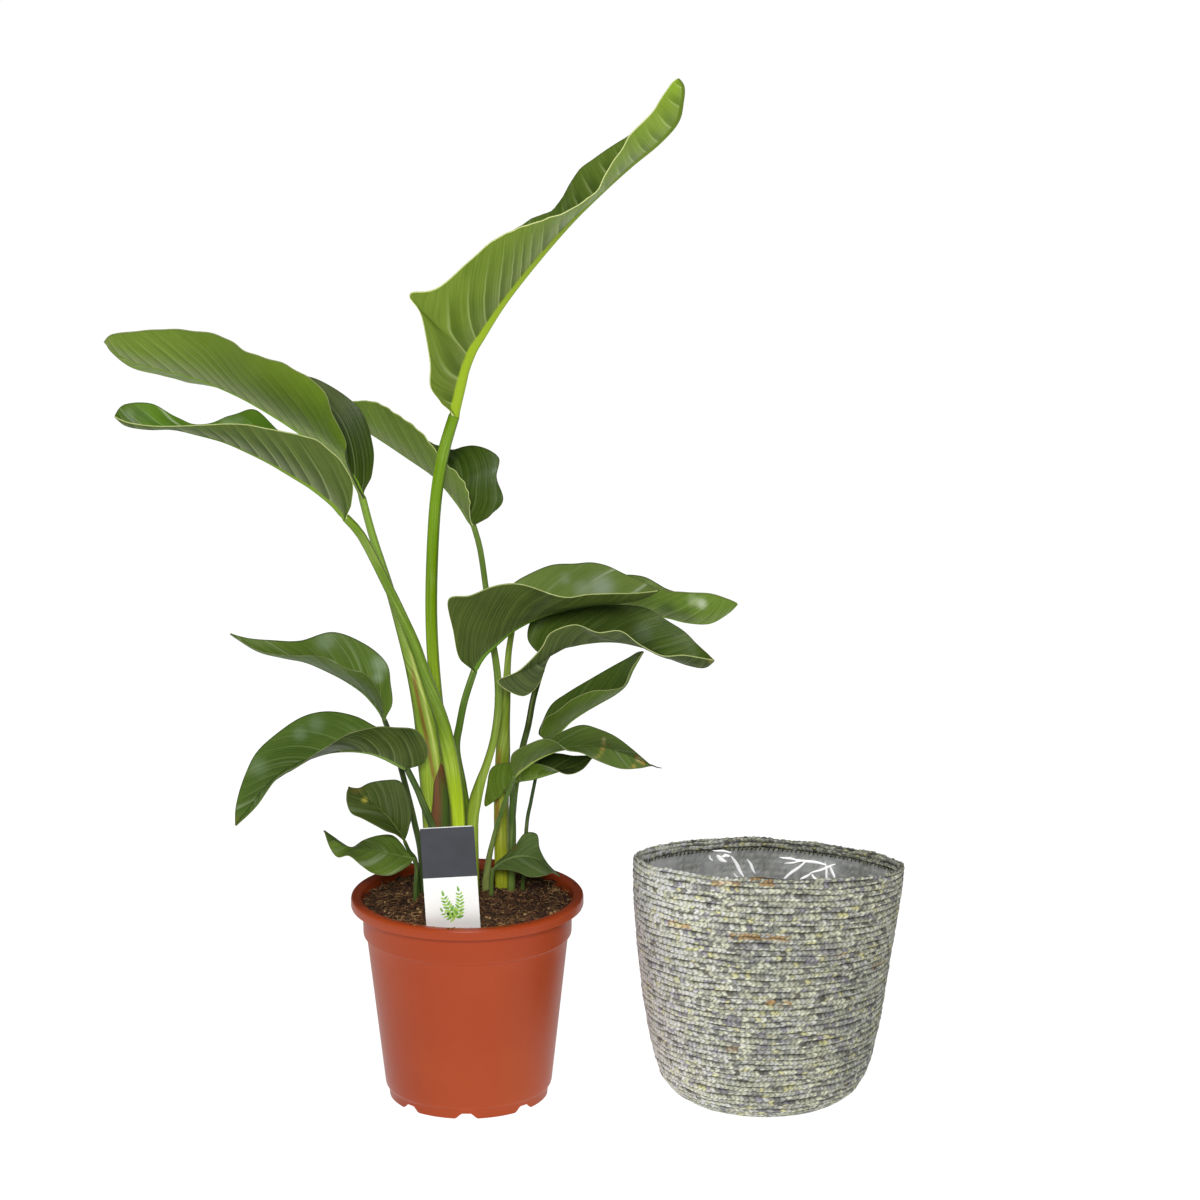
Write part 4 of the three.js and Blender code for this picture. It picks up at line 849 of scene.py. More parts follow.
def leaf_piece(name, leaf, look, rng):
    shares = wing_shares()
    middle = len(shares)
    columns = 2 * middle + 1
    count = 2 * columns
    last = len(leaf["blade"]) - 1
    places = (last - 0.02) * (np.arange(1, BLADE_STATIONS + 1) / BLADE_STATIONS)
    grid, widths = blade_grid(leaf, places)

    # Frame of the blade at each point.
    ahead = np.gradient(grid, axis=0)
    sideways = np.gradient(grid, axis=1)
    normal = unit(np.cross(sideways, ahead)) * leaf["to"]

    s = np.concatenate([shares, [0], shares[::-1]])
    side = np.concatenate([np.ones(middle), [0], -np.ones(middle)])
    width = np.where(side > 0, widths[:, :1], widths[:, 1:])
    out = s[None, :] * width
    share = places / last
    run = run_along(grid[:, middle])[:, None] + 0 * out
    lift, vein, phase = blade_waves(look, rng, run, out, width, s, side)
    grid = grid + normal * lift[..., None]

    # The keel of the rib under the blade, and a shallow dent above it.
    base_width, base_depth = leaf["stem"][-1][3:5]
    tip_depth = RIB_TIP_DEPTH * 0.5
    keel = tip_depth + (base_depth * 0.8 - tip_depth) * (1 - share) ** (2 * look["taper"] - 1)
    rib_half = RIB_TIP_HALF + (base_depth * 0.95 - RIB_TIP_HALF) * (1 - share) ** look["taper"]
    rib_half = rib_half[:, None]
    ridge = np.sqrt(np.clip(1 - (out / rib_half) ** 2, 0, 1))
    half = BLADE_THICKNESS / 2 - (BLADE_THICKNESS - MARGIN_THICKNESS) / 2 * smooth(0.8, 1.0, s)
    dent = 0.35 * np.exp(-(out / (rib_half * 0.6)) ** 2)
    top = grid + normal * (half - dent)[..., None]
    under = grid - normal * (half + keel[:, None] * ridge)[..., None]
    blade_rings = both_faces(top, under)

    # The stem from the soil to the blade, then melting into it.
    stem_rows = [*leaf["stem"], [*leaf["blade"][0][:3], base_width * 0.94, base_depth * 0.94]]
    foot = placed(*leaf["stem"][0][:3])
    foot[2] = SOIL_LEVEL
    rows = [along(stem_rows, t) for t in np.linspace(0, len(stem_rows) - 1, STEM_STATIONS)]
    centres = np.array([foot] + [placed(*row[:3]) for row in rows])
    sizes = np.array([leaf["stem"][0][3:5]] + [row[3:5] for row in rows])
    stems = len(centres)
    towards = np.gradient(np.concatenate([centres, grid[:3, middle]]), axis=0)[:stems]
    stem_rings = np.array([
        stem_ring(centre, unit(direction), leaf["to"], *size, count)
        for centre, direction, size in zip(centres, towards, sizes)
    ])
    melted = smooth(0, 1, places / 0.8)
    for i in np.flatnonzero(melted < 1):
        size = sizes[-1] * (1 - look["melt"] * melted[i])
        ellipse = stem_ring(grid[i, middle], unit(ahead[i, middle]), leaf["to"], *size, count)
        blade_rings[i] = ellipse * (1 - melted[i]) + blade_rings[i] * melted[i]
    points = np.concatenate([stem_rings, blade_rings])
    total = len(points)
    faces, kinds = leaf_faces(stems, total, columns, leaf["to"])
    materials = [STALK, LEAF_UPPER, LEAF_UNDER]
    piece = mesh_object(name + "_grown", points, faces, materials, kinds)

    # Where each point is along the veins and away from the margin.
    stem_run = run_along(centres)
    around = (turns(count) + np.pi / count) * sizes[:, :1]
    stem_uv = np.stack([stem_run[:, None] + 0 * around, around], -1)
    blade_uv = np.stack([both_faces(vein), both_faces(out * side)], -1)
    give_uv(piece, "veins", np.concatenate([stem_uv, blade_uv]) / UV_UNIT)
    edge = np.maximum(both_faces(width - out) / 10, 0)
    closeness = out / (rib_half * look["band"])
    rib_mark = np.clip(both_faces(closeness * 1.4, closeness), 0, 3)
    blade_marks = np.stack([edge, rib_mark], -1)
    give_uv(piece, "marks", np.concatenate([np.full((stems, count, 2), 2.0), blade_marks]))
    blade_folds = np.stack([both_faces(phase), both_faces(s + 0 * out)], -1)
    give_uv(piece, "folds", np.concatenate([np.full((stems, count, 2), 0.5), blade_folds]))

    # Colours.
    upper, below, rib_colour, foot_colour, top_colour = (
        np.array(linear(look[key])) for key in ("upper", "under", "rib", "foot", "top"))
    aside = np.abs(stem_rings[..., 0] - centres[:, :1]) / sizes[:, :1]
    risen = smooth(*look["greens"], stem_run / stem_run[-1])[:, None]
    stem_tint = (foot_colour + (top_colour - foot_colour) * risen)[:, None] * np.ones((1, count, 1))
    # Painted shade on the sides of the stem, as seen from the front.
    stem_tint *= (1 - 0.5 * smooth(0.62, 1.0, aside))[..., None]
    blade_tint = np.empty((len(places), count, 4))
    blade_tint[:, :columns] = upper
    blade_tint[:, columns:] = below
    young = (0.12 * np.exp(-share * 5))[:, None, None]
    blade_tint = blade_tint * (1 - young) + rib_colour * young
    # Painted light: the underside is made lighter or darker along the blade.
    blade_tint[:, columns:] *= np.interp(share, *look["light"])[:, None, None]
    colours = np.concatenate([stem_tint, blade_tint]).reshape(-1, 4)
    colours[:, 3] = look["sheen"]
    above = np.zeros((total, count))
    above[stems:, :columns] = 1
    points = points.reshape(-1, 3)
    front = points[:, 1] < centres[:, 1].max()
    colours = with_spots_and_painted_light(name, colours, points, above.ravel(), front)
    give_colour(piece, "tint", colours, by_corner=True)
    fading = np.concatenate([np.zeros(stems), smooth(0.3, 0.85, share)])[:, None, None]
    rib_tint = np.broadcast_to(rib_colour * (1 - fading) + below * fading, (total, count, 4))
    give_colour(piece, "rib", rib_tint, by_corner=True)
    margin = look["margin"]
    near_side = np.concatenate([side, side[::-1]]) < 0
    # For each point: how strongly the folds' painted shade and light show, how pale the margin is, how much
    # painted shade darkens the edges, and how strong the painted highlight streaks are.
    traits = np.zeros((total, count, 4))
    traits[..., 0] = look["folds"]
    traits[..., 1] = np.where(near_side, margin, 0.25 * margin)
    traits[..., 2] = np.where(near_side, 0.5 * (margin < 0.4), 0.7)
    traits[..., 3] = look["painted_gloss"]
    give_colour(piece, "traits", traits)
    return piece


for order, (leaf_name, leaf) in enumerate(LEAVES.items()):
    rng = random.Random(SEED + order)
    look = {**USUAL_LOOK, **dict(zip(LOOK_KEYS, LOOKS[leaf_name])), **OWN_LOOK.get(leaf_name, {})}
    piece = leaf_piece(leaf_name, leaf, look, rng)
    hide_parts(leaf_name)

# Dry old sheath round the foot of the widest stem

SHEATH_STATIONS = 60
SHEATH_TURNS = 28
SHEATH_NEAR = 0.6
SHEATH_FAR = 1.9
SHEATH_EDGE = 1.2
# Levels from the foot up: middle of the stem as x, z and y, its half width and half depth, and
# in degrees how far the sheath spreads to each side and how far its middle is turned right.
SHEATH_LEVELS = [
    [-21, 120, 1, 8, 6, 74, 16], [-21, 160, 1, 8, 6, 74, 18], [-22.2, 195, 1, 9.2, 6, 62, 28],
    [-23.5, 222, 1, 9.4, 6, 48, 42], [-24.8, 240, 1, 9.4, 6, 36, 46], [-25.6, 253, 1.6, 9.5, 5.9, 2, 46],
]


def sheath_material():
    n = Nodes("dry_sheath")
    tint, _ = n.attribute("tint")
    run, around = n.uv("veins")
    streaks = n.streaks(run, around, 2.5, 90.0, 3.0)
    n.set(Base_Color=n.mix(n.between(streaks, 0.35, 0.65), n.darker(tint, 0.6, 0.6, 0.55), tint))
    n.set(Roughness=0.5)
    n.bump(streaks, 0.0005, 0.6)
    return n.material


def sheath_piece():
    rings, marks = [], []
    share = np.linspace(-1, 1, SHEATH_TURNS)
    share = np.concatenate([share, share[::-1]])
    offset = np.where(np.arange(2 * SHEATH_TURNS) < SHEATH_TURNS, SHEATH_NEAR, SHEATH_FAR)
    offset = np.where(np.abs(share) > 0.97, SHEATH_EDGE, offset)
    for t in np.linspace(0, len(SHEATH_LEVELS) - 1, SHEATH_STATIONS):
        x, z, y, wide, deep, spread, middle = along(SHEATH_LEVELS, t)
        centre = placed(x, z, y)
        height = np.full(len(share), centre[2])
        angle = np.radians(-90 + middle + max(spread, 1) * share)
        across = centre[0] + (wide + offset) * np.cos(angle)
        away = centre[1] + (deep + offset) * np.sin(angle)
        rings.append(np.stack([across, away, height], -1))
        marks.append(np.stack([height, np.radians(spread * share) * wide], -1))
    faces = ring_faces(len(rings), len(share))
    piece = mesh_object("old_sheath_dry", rings, faces, [sheath_material()])
    marks = np.reshape(marks, (-1, 2))
    give_uv(piece, "veins", marks / UV_UNIT)
    height, around = marks.T
    left = smooth(0.1, -0.7, around / 7) * smooth(150, 200, height)
    top = smooth(228, 250, height)
    colours = np.tile(linear("47611c"), (len(marks), 1))
    colours = tinted(colours, "55702a", smooth(150, 235, height))
    colours = tinted(colours, "b6bb52", 0.5 * smooth(0.7, 1.0, around / 8))
    colours = tinted(colours, "7c3f1e", 0.85 * np.maximum(left, top))
    give_colour(piece, "tint", colours)
    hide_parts("old_sheath")


sheath_piece()

# Pot

POT_SIDES = 352
POT_SHARP_DEG = 38
NOTCH_DEPTH = 4.0
NOTCH_HALF_WIDTH = 8.0
NOTCH_SLOPE = 4.5


def pot_material():
    n = Nodes("pot_plastic")
    cloud = n.noise(9.0, 4.0)
    specks = n.between(n.noise(150.0, 1.0), 0.8, 0.84)
    n.set(Base_Color=n.mix(specks, n.tones(cloud, "9f3c15", "a7451b"), linear("6d3220")))
    n.set(Roughness=n.between(cloud, 0.3, 0.7, 0.36, 0.46), Specular_IOR_Level=0.25)
    n.bump(n.noise(700.0, 2.0), 0.00006, 0.5)
    return n.material


def notch_height(angle):
    """How far the foot ring is cut away at this angle."""
    step = 2 * np.pi / POT_NOTCHES
    off = np.abs((angle + np.pi / 2 + step / 2) % step - step / 2) * POT_FOOT_RADIUS
    return NOTCH_DEPTH * np.clip((NOTCH_HALF_WIDTH - off) / NOTCH_SLOPE, 0, 1)


def pot_piece():
    """The pot, turned from an outline of radius and height that starts under its floor."""
    foot = POT_FOOT_RADIUS
    low = POT_LOWER_WALL_RADIUS
    high = POT_UPPER_WALL_RADIUS
    step = POT_STEP_HEIGHT
    rim = POT_HEIGHT - POT_RIM_DROP
    outer = POT_RIM_RADIUS
    inner = POT_RIM_INNER_RADIUS
    top = POT_HEIGHT
    outline = [
        [0.5, 4.6], [20, 4.6], [54.4, 4.6], [56.3, 4.2], [56.9, 3.0], [56.9, 0.3], [57.2, 0],
        [foot - 0.3, 0], [foot, 0.3], [58.6, 3], [58.8, 6.2], [59.0, 6.9], [59.4, 7.2], [60.2, 7.6],
        [60.9, 8.6], *[[low + (high - low) * k / 12, 10.4 + 112.2 * k / 12] for k in range(12)],
        [high, step - 0.8], [74.0, step - 0.2], [74.6, step + 0.2], [75.6, step + 0.6],
        [76.1, step + 1.2], [76.25, step + 2.2], [76.4, 134],
        [76.5, rim - 1.2], [76.9, rim - 0.7], [78, rim - 0.6], [84, rim - 0.6],
        [outer - 0.3, rim - 0.3], [outer, rim + 0.5], [84.95, top - 2.2], [84.7, top - 1.1],
        [84.1, top - 0.4], [83.2, top], [79, top - 0.1], [78, top - 0.5], [77.3, top - 1.4],
        [inner, top - 2.6], [75.2, rim - 4], [74.6, 126], [74.4, 124.5], [72.4, 122], [60.2, 10],
        [58.3, 7.4], [20, 7], [0.5, 7],
    ]
    angles = turns(POT_SIDES)
    rings = []
    for radius, height in outline:
        z = height
        if 56 < radius < 60 and height < 4:
            z = np.maximum(height, notch_height(angles) + height * 0.2)
        rings.append(circle(radius, angles, z))
    faces = ring_faces(len(rings), POT_SIDES)
    piece = mesh_object("pot_moulded", rings, faces, [pot_material()])
    piece.data.set_sharp_from_angle(angle=math.radians(POT_SHARP_DEG))
    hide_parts("pot")


pot_piece()

# Soil

SOIL_OUTER = 74.4
SOIL_SIDES = 200
SOIL_RINGS = 62
FIBRE_COUNT = 2700
FIBRE_KNOTS = 7
FIBRE_SIDES = 3
FIBRE_SPREAD = 76.4
FIBRE_TURN = 76.2
FIBRE_REACH = 76.6
CRUMB_COUNT = 760
CRUMBS_ON_RIM = 26
FIBRE_COLOURS = ["8a5f38", "6b4426", "a87c4c", "523320", "c19a66", "75492a", "3d2616"]
# The points of a rough crumb: one on top, five above its middle, five below it, one at the bottom.
CRUMB_POINTS = [
    (0, 0, 1), (0.9, 0, 0.4), (0.28, 0.85, 0.4), (-0.72, 0.53, 0.4), (-0.72, -0.53, 0.4), (0.28, -0.85, 0.4),
    (0.72, 0.53, -0.4), (-0.28, 0.85, -0.4), (-0.9, 0, -0.4), (-0.28, -0.85, -0.4), (0.72, -0.53, -0.4),
    (0, 0, -1),
]


def soil_material():
    n = Nodes("potting_soil")
    crumbs = n.noise(420.0, 4.0)
    dark = n.tones(n.noise(60.0, 4.0), "2a1a0e", "442b18")
    n.set(Base_Color=n.mix(n.between(crumbs, 0.45, 0.7), dark, linear("6d4a2a")), Roughness=0.95)
    n.bump(crumbs, 0.0012, 1.0)
    return n.material


def fibre_material():
    n = Nodes("coir_fibre")
    tint, _ = n.attribute("tint")
    n.set(Base_Color=n.mix(n.between(n.noise(300.0, 2.0), 0.3, 0.7), n.darker(tint, 0.7, 0.68, 0.65), tint))
    n.set(Roughness=0.9)
    return n.material


def soil_height(x, y):
    """Height of the soil's surface, lumpy and a little higher in the middle."""
    r = np.hypot(x, y)
    lumps = 0.9 * np.sin(x / 5.1 + 1.3 * np.sin(y / 7.7)) * np.sin(y / 4.3 + 0.7)
    lumps += 0.6 * np.sin(x / 2.3 + y / 3.1) * np.sin(y / 1.9 - x / 4.7)
    return SOIL_EDGE_HEIGHT + (SOIL_MIDDLE_HEIGHT - SOIL_EDGE_HEIGHT) * (1 - (r / SOIL_OUTER) ** 2) + lumps


def soil_piece():
    angles = turns(SOIL_SIDES)
    outline = [
        [0.5, 7.5], [57.5, 7.5], [59.2, 10], [71.7, 122], [73.6, 124.5], [SOIL_OUTER - 0.6, 141],
        [SOIL_OUTER, 145],
    ]
    rings = [circle(radius, angles, height) for radius, height in outline]
    for radius in np.linspace(SOIL_OUTER - 0.8, 1, SOIL_RINGS):
        height = soil_height(radius * np.cos(angles), radius * np.sin(angles))
        rings.append(circle(radius, angles, height))
    piece = mesh_object("soil_bed", rings, ring_faces(len(rings), SOIL_SIDES), [soil_material()])
    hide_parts("soil")


def tube_points(path, radius, sides):
    """Rings of points round a path, the radius tapering to both ends."""
    path = np.asarray(path)
    direction = unit(np.gradient(path, axis=0))
    side = unit(np.cross(direction, np.array([0.13, 0.07, 1.0])))
    up = np.cross(side, direction)
    angle = turns(sides)
    taper = radius * (0.35 + 0.65 * np.sin(np.linspace(0.25, np.pi - 0.25, len(path))))
    ring = side[:, None, :] * np.cos(angle)[None, :, None] + up[:, None, :] * np.sin(angle)[None, :, None]
    return (path[:, None, :] + ring * taper[:, None, None]).reshape(-1, 3).tolist()


def place_on_soil(x, y):
    """The place itself, or the nearest one that is still inside the pot."""
    reach = math.hypot(x, y)
    if reach > FIBRE_REACH:
        return x * FIBRE_REACH / reach, y * FIBRE_REACH / reach
    return x, y


def fibres_piece():
    rng = random.Random(SEED + 100)
    points, faces, colours = [], [], []
    for _ in range(FIBRE_COUNT):
        radius = FIBRE_SPREAD * math.sqrt(rng.random())
        turn = rng.uniform(0, 2 * math.pi)
        x, y = radius * math.cos(turn), radius * math.sin(turn)
        heading = rng.uniform(0, 2 * math.pi)
        bend = rng.gauss(0, 0.28)
        length = rng.uniform(0.8, 2.1)
        lift = rng.uniform(0.1, 1.6)
        path = []
        for share in np.arange(FIBRE_KNOTS) / (FIBRE_KNOTS - 1):
            rise = lift * math.sin(math.pi * share) + rng.uniform(-0.2, 0.3)
            if math.hypot(x, y) > FIBRE_TURN:
                heading += 0.8 * math.sin(math.atan2(-y, -x) - heading)
            path.append([x, y, float(soil_height(x, y)) + 0.3 + rise])
            heading += bend + rng.gauss(0, 0.3)
            x, y = place_on_soil(x + length * math.cos(heading), y + length * math.sin(heading))
        tube = tube_points(path, rng.uniform(0.2, 0.48), FIBRE_SIDES)
        add_shape(points, faces, tube, ring_faces(FIBRE_KNOTS, FIBRE_SIDES))
        code = rng.choice(FIBRE_COLOURS)
        colours.extend([shaded(code, rng.uniform(0.5, 0.95))] * len(tube))
    piece = mesh_object("soil_fibres", points, faces, [fibre_material()])
    give_colour(piece, "tint", colours)


def crumb_faces():
    faces = []
    for k, following in ((1, 2), (2, 3), (3, 4), (4, 5), (5, 1)):
        faces += [(0, k, following), (k, k + 5, following)]
        faces += [(following, k + 5, following + 5), (k + 5, 11, following + 5)]
    return faces


def crumbs_piece():
    rng = random.Random(SEED + 200)
    crumb = crumb_faces()
    points, faces, colours = [], [], []
    for number in range(CRUMB_COUNT):
        on_rim = number < CRUMBS_ON_RIM
        radius = rng.uniform(78.5, 83) if on_rim else 75.5 * math.sqrt(rng.random())
        turn = rng.gauss(-1.5, 0.5) if on_rim and number < 16 else rng.uniform(0, 2 * math.pi)
        x, y = radius * math.cos(turn), radius * math.sin(turn)
        size = rng.uniform(0.35, 0.9) if on_rim else rng.uniform(0.5, 1.9)
        z = (POT_HEIGHT if on_rim else float(soil_height(x, y))) + size * 0.3
        wide, deep, _ = (rng.uniform(0.7, 1.4) for _ in range(3))
        lump = []
        for across, away, up in CRUMB_POINTS:
            reach = rng.uniform(0.8, 1.2) * size
            lump.append([x + across * reach * wide, y + away * reach * deep, z + up * reach * 0.7])
        add_shape(points, faces, lump, crumb)
        colours.extend([shaded(rng.choice(FIBRE_COLOURS), 0.8)] * len(lump))
    piece = mesh_object("soil_crumbs", points, faces, [fibre_material()])
    give_colour(piece, "tint", colours)


soil_piece()
fibres_piece()
crumbs_piece()

# Label: a white card with a dark upper part, a pale line at its top and a painted sprig

LABEL_DARK_DOWN = 37.5
LABEL_PALE_LINE = 0.4
LABEL_CORNER = 2
LABEL_TAPER = 16
SHOOT_STEP = 2.5


def label_point(across, down, forward):
    """A place on the card: from its middle line, from its top edge, and towards the front."""
    lean = math.radians(LABEL_LEAN_DEG)
    x = LABEL_TOP_X + across * math.cos(lean) + down * math.sin(lean)
    z = LABEL_TOP + across * math.sin(lean) - down * math.cos(lean)
    return [x, LABEL_Y - forward, z]


def card_material():
    n = Nodes("label_card")
    _, down = n.uv("card")
    above = n.math("LESS_THAN", down, LABEL_DARK_DOWN / UV_UNIT)
    dark = n.times(above, n.math("GREATER_THAN", down, LABEL_PALE_LINE / UV_UNIT))
    cloud = n.noise(40.0, 2.0)
    paper = n.tones(cloud, "efefec", "f6f6f3")
    n.set(Base_Color=n.mix(dark, paper, n.tones(cloud, "292b31", "31343c")), Roughness=0.35)
    n.bump(n.noise(900.0, 1.0), 0.00003, 0.4)
    return n.material


def plain_material(name, code, other, roughness, scale):
    n = Nodes(name)
    n.set(Base_Color=n.tones(n.noise(scale), code, other), Roughness=roughness)
    return n.material


def label_outline():
    half = LABEL_WIDTH / 2
    tall = LABEL_TOP - LABEL_BOTTOM
    points = []
    for across, start in ((half - LABEL_CORNER, 0), (-half + LABEL_CORNER, 90)):
        for k in range(6):
            a = math.radians(start + 18 * k)
            points.append((across + LABEL_CORNER * math.cos(a), LABEL_CORNER * (1 - math.sin(a))))
    shoulder = tall - LABEL_TAPER
    points += [(-half, shoulder), (-half * 0.45, tall), (half * 0.45, tall), (half, shoulder)]
    return points


def add_slab(points, faces, outline, forward, backward):
    """Adds a flat shape that reaches from one depth of the card to another."""
    size = len(outline)
    slab = [label_point(a, d, level) for level in (forward, backward) for a, d in outline]
    sides = []
    for k in range(size):
        m = (k + 1) % size
        sides.append((k, k + size, m + size, m))
    add_shape(points, faces, slab, [tuple(range(size)), tuple(range(size, 2 * size))[::-1], *sides])


def label_piece():
    outline = label_outline()
    points, faces = [], []
    add_slab(points, faces, outline, -LABEL_THICKNESS / 2, LABEL_THICKNESS / 2)
    piece = mesh_object("label_card", points, faces, [card_material()], smooth_faces=False)
    face_outward(piece)
    give_uv(piece, "card", np.array(outline * 2) / UV_UNIT)
    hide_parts("label")


def sprig_piece():
    """Three arching shoots with paired leaflets, printed on the white part of the card."""
    points, faces, kinds = [], [], []

    def leaflet(a, d, heading, length, level, kind):
        outline = []
        for turn in turns(16):
            u = (math.cos(turn) + 1) / 2 * length
            v = math.sin(turn) * length * 0.2 * (1 - 0.35 * math.cos(turn))
            across = a + u * math.cos(heading) - v * math.sin(heading)
            outline.append((across, d - u * math.sin(heading) - v * math.cos(heading)))
        add_slab(points, faces, outline, LABEL_THICKNESS / 2 + level, LABEL_THICKNESS / 2 - 0.1)
        kinds.extend([kind] * (len(outline) + 2))

    def shoot(foot, heading, curl, steps, size, level):
        a, d = foot
        for k in range(steps):
            length = size * (1 - 0.45 * k / steps)
            for side in (-1, 1):
                kind = (k + (side > 0)) % 2
                leaflet(a, d, heading + side * 0.9, length, level + 0.01 * (k % 2), kind)
            a += SHOOT_STEP * math.cos(heading)
            d -= SHOOT_STEP * math.sin(heading)
            heading += curl
        leaflet(a, d, heading, size * 0.8, level, 0)

    shoot((2.0, 67), 2.2, -0.06, 7, 5.6, 0.03)
    shoot((3.0, 68), 1.2, 0.07, 8, 5.2, 0.05)
    shoot((1.5, 68), 2.9, -0.2, 4, 4.6, 0.04)
    materials = [
        plain_material("label_print_green", "5f9a2c", "7fb23c", 0.4, 200.0),
        plain_material("label_print_lime", "9cc84a", "b6d86a", 0.4, 200.0),
    ]
    piece = mesh_object("label_sprig", points, faces, materials, kinds, False)
    face_outward(piece)


label_piece()
sprig_piece()

# Dry tip of the spotted leaf

def dry_tail():
    """The dry thread at the tip of the spotted leaf."""
    path = [placed(x, z, -28) for x, z in ((132.4, 250.6), (135, 250.1), (138.4, 248.7), (142, 248.1))]
    turn = turns(8)
    rings = []
    for centre, radius in zip(path, (0.9, 0.6, 0.45, 0.25)):
        rings.append(centre + np.stack([0 * turn, radius * np.cos(turn), radius * np.sin(turn)], -1))
    material = plain_material("dry_tail", "3f4030", "55563f", 0.7, 60.0)
    piece = mesh_object("spotted_leaf_tail", rings, ring_faces(4, 8), [material])
    face_outward(piece)


dry_tail()

# Basket: braided seagrass rows sewn in a spiral, with its clear lining

# A braided row is two lines of strands that slant opposite ways.
LINE_PITCH = 2.1
STRAND_PITCH = 3.7
LINE_SAMPLES = 3
BRAID_STATIONS = 630
LIP = 2.5
INSIDE_BAND = 8.4
INSIDE_STATIONS = 240
INSIDE_RINGS = 62
FOOT_RADIUS = 52.2
FOOT_RINGS = 50
PATCH_COUNT = 46
PATCH_WALL_RADIUS = 85
STREAK_HALF_HEIGHT = 2.2
LINER_INWARD = 6.6
LINER_STATIONS = 300
LINER_FLOOR = 6.6
LINER_RINGS = 90
LINER_RADIUS = 80
CREASE_COUNT = 60
CREASE_WIDTH = 1.6
STITCH_COUNT = 136
# The height above which the wall leans and its round turns into the mouth's oval.
MOUTH_START = 80
# How common each colour of the strands is.
STRANDS = [
    ["b9baa4", 8], ["cbccb4", 7], ["dddec4", 5], ["a0a195", 6], ["eceed2", 3], ["83837c", 4], ["c4c4bd", 6],
    ["d9d9d0", 4], ["d6d29c", 2], ["9a96a0", 2], ["6b675c", 1],
]
# Ochre streaks: height, from and to in degrees round the wall, and strength.
STREAKS = [
    [144, 223, 235, 0.6], [141, 253, 279, 0.75], [95.5, 269, 281, 0.8], [112, 324, 337, 0.5],
    [178, 261, 271, 0.8], [176, 245, 257, 0.5], [91, 197, 202, 0.5], [60, 250, 256, 0.35],
    [128, 300, 306, 0.3],
]
# Glowing strips of painted highlight along sharp folds of the film on the back wall: from and to,
# each as sideways from the middle of the mouth and height, and the width.
FILM_FOLD_GLINTS = [
    [-40, 172.2, -26, 169.6, 1.6], [-37, 167.4, -30, 161, 3.2], [-33, 166.4, -27, 166.6, 2.6],
    [-26, 166.4, -16, 147, 2.3], [-13.6, 162.6, -7.6, 150, 1.9], [12, 143.6, 30, 165, 2.1],
    [24, 144, 33, 154, 2.0], [33, 153.8, 51, 165.4, 1.9], [33.5, 153.4, 39.4, 146.6, 2.0],
    [43.4, 165.6, 45.6, 148, 1.5], [47, 164, 51, 150.6, 1.8], [10, 165.6, 24, 164.2, 2.0],
    [22, 164.8, 44, 163.8, 2.6], [-43, 168, -40, 163, 1.3], [14, 160, 26, 163.6, 1.2],
    [-24, 150, -18, 145, 1.0],
]
FOLD_KNOTS = 8


def basket_level(height):
    heights, *sizes = np.array(BASKET_LEVELS).T
    return [np.interp(height, heights, size) for size in sizes]


def basket_round(height, angles, inward):
    """Points of the wall at this height, moved in by this much."""
    wide, deep, shift = basket_level(height)
    flow = min(max((height - MOUTH_START) / (BASKET_HEIGHT - MOUTH_START), 0), 1)
    c, s = np.cos(angles), np.sin(angles)
    fullness = 2 + flow * (np.where(s < 0, MOUTH_FRONT, MOUTH_BACK) - 2)
    reach = (np.abs(c) ** fullness + np.abs(s) ** fullness) ** (-1 / fullness)
    across = BASKET_X + shift + (wide - inward) * c * reach
    return np.stack([across, (deep - inward) * s * reach, height - BASKET_LEAN * flow * c * reach], -1)


def even_angles(height, count):
    """Angles that split the round of the wall into even steps from the back, and its length."""
    fine = np.linspace(0.5 * np.pi, 2.5 * np.pi, 1081)
    length = run_along(basket_round(height, fine, 0))
    return np.interp(np.arange(count) / count * length[-1], length, fine), length[-1]


def outside_run():
    """Heights of the outside wall and the way up to each of them along the wall."""
    heights = np.concatenate([np.linspace(0, 12, 60), np.linspace(12.5, BASKET_HEIGHT - LIP, 400)])
    wide, deep, _ = basket_level(heights)
    return heights, run_along(np.stack([heights, (wide + deep) / 2], -1))


OUTSIDE_HEIGHTS, OUTSIDE_RUN = outside_run()


def wall_place(run):
    """Up the outside, over the lip and down the inside: height, how far in, and which way is out."""
    top = OUTSIDE_RUN[-1]
    if run < top:
        return float(np.interp(run, OUTSIDE_RUN, OUTSIDE_HEIGHTS)), 0.0, -1.0, 0.0
    turn = (run - top) / LIP
    if turn < np.pi:
        inward = LIP - LIP * math.cos(turn)
        return BASKET_HEIGHT - LIP + LIP * math.sin(turn), inward, -math.cos(turn), math.sin(turn)
    return BASKET_HEIGHT - LIP - (turn - np.pi) * LIP, 2 * LIP, 1.0, 0.0


def strand_material():
    n = Nodes("seagrass")
    tint, _ = n.attribute("tint")
    fibre = n.noise(900.0)
    shaded_fibre = n.mix(n.between(fibre, 0.35, 0.65), n.darker(tint, 0.68, 0.68, 0.65), tint)
    cloud = n.between(n.noise(22.0), 0.35, 0.65)
    n.set(Base_Color=n.mix(cloud, n.darker(shaded_fibre, 0.86, 0.87, 0.9), shaded_fibre))
    n.set(Roughness=0.68, Specular_IOR_Level=0.35)
    n.bump(fibre, 0.0004, 0.7)
    return n.material


SEAGRASS = strand_material()


def row_strands(line):
    """How many strands this line has, where they start, and the colour and size of each."""
    row = line // 2
    height = wall_place(row * 2 * LINE_PITCH)[0]
    bumps = round(even_angles(height, 4)[1] / STRAND_PITCH)
    start = random.Random(SEED * 1000 + row).uniform(0, 1)
    rng = random.Random(SEED * 5000 + line)
    codes = rng.choices([code for code, _ in STRANDS], [weight for _, weight in STRANDS], k=bumps)
    sizes = np.array([rng.uniform(0.55, 1.15) for _ in range(bumps)])
    return bumps, start, np.array([linear(code) for code in codes]), sizes


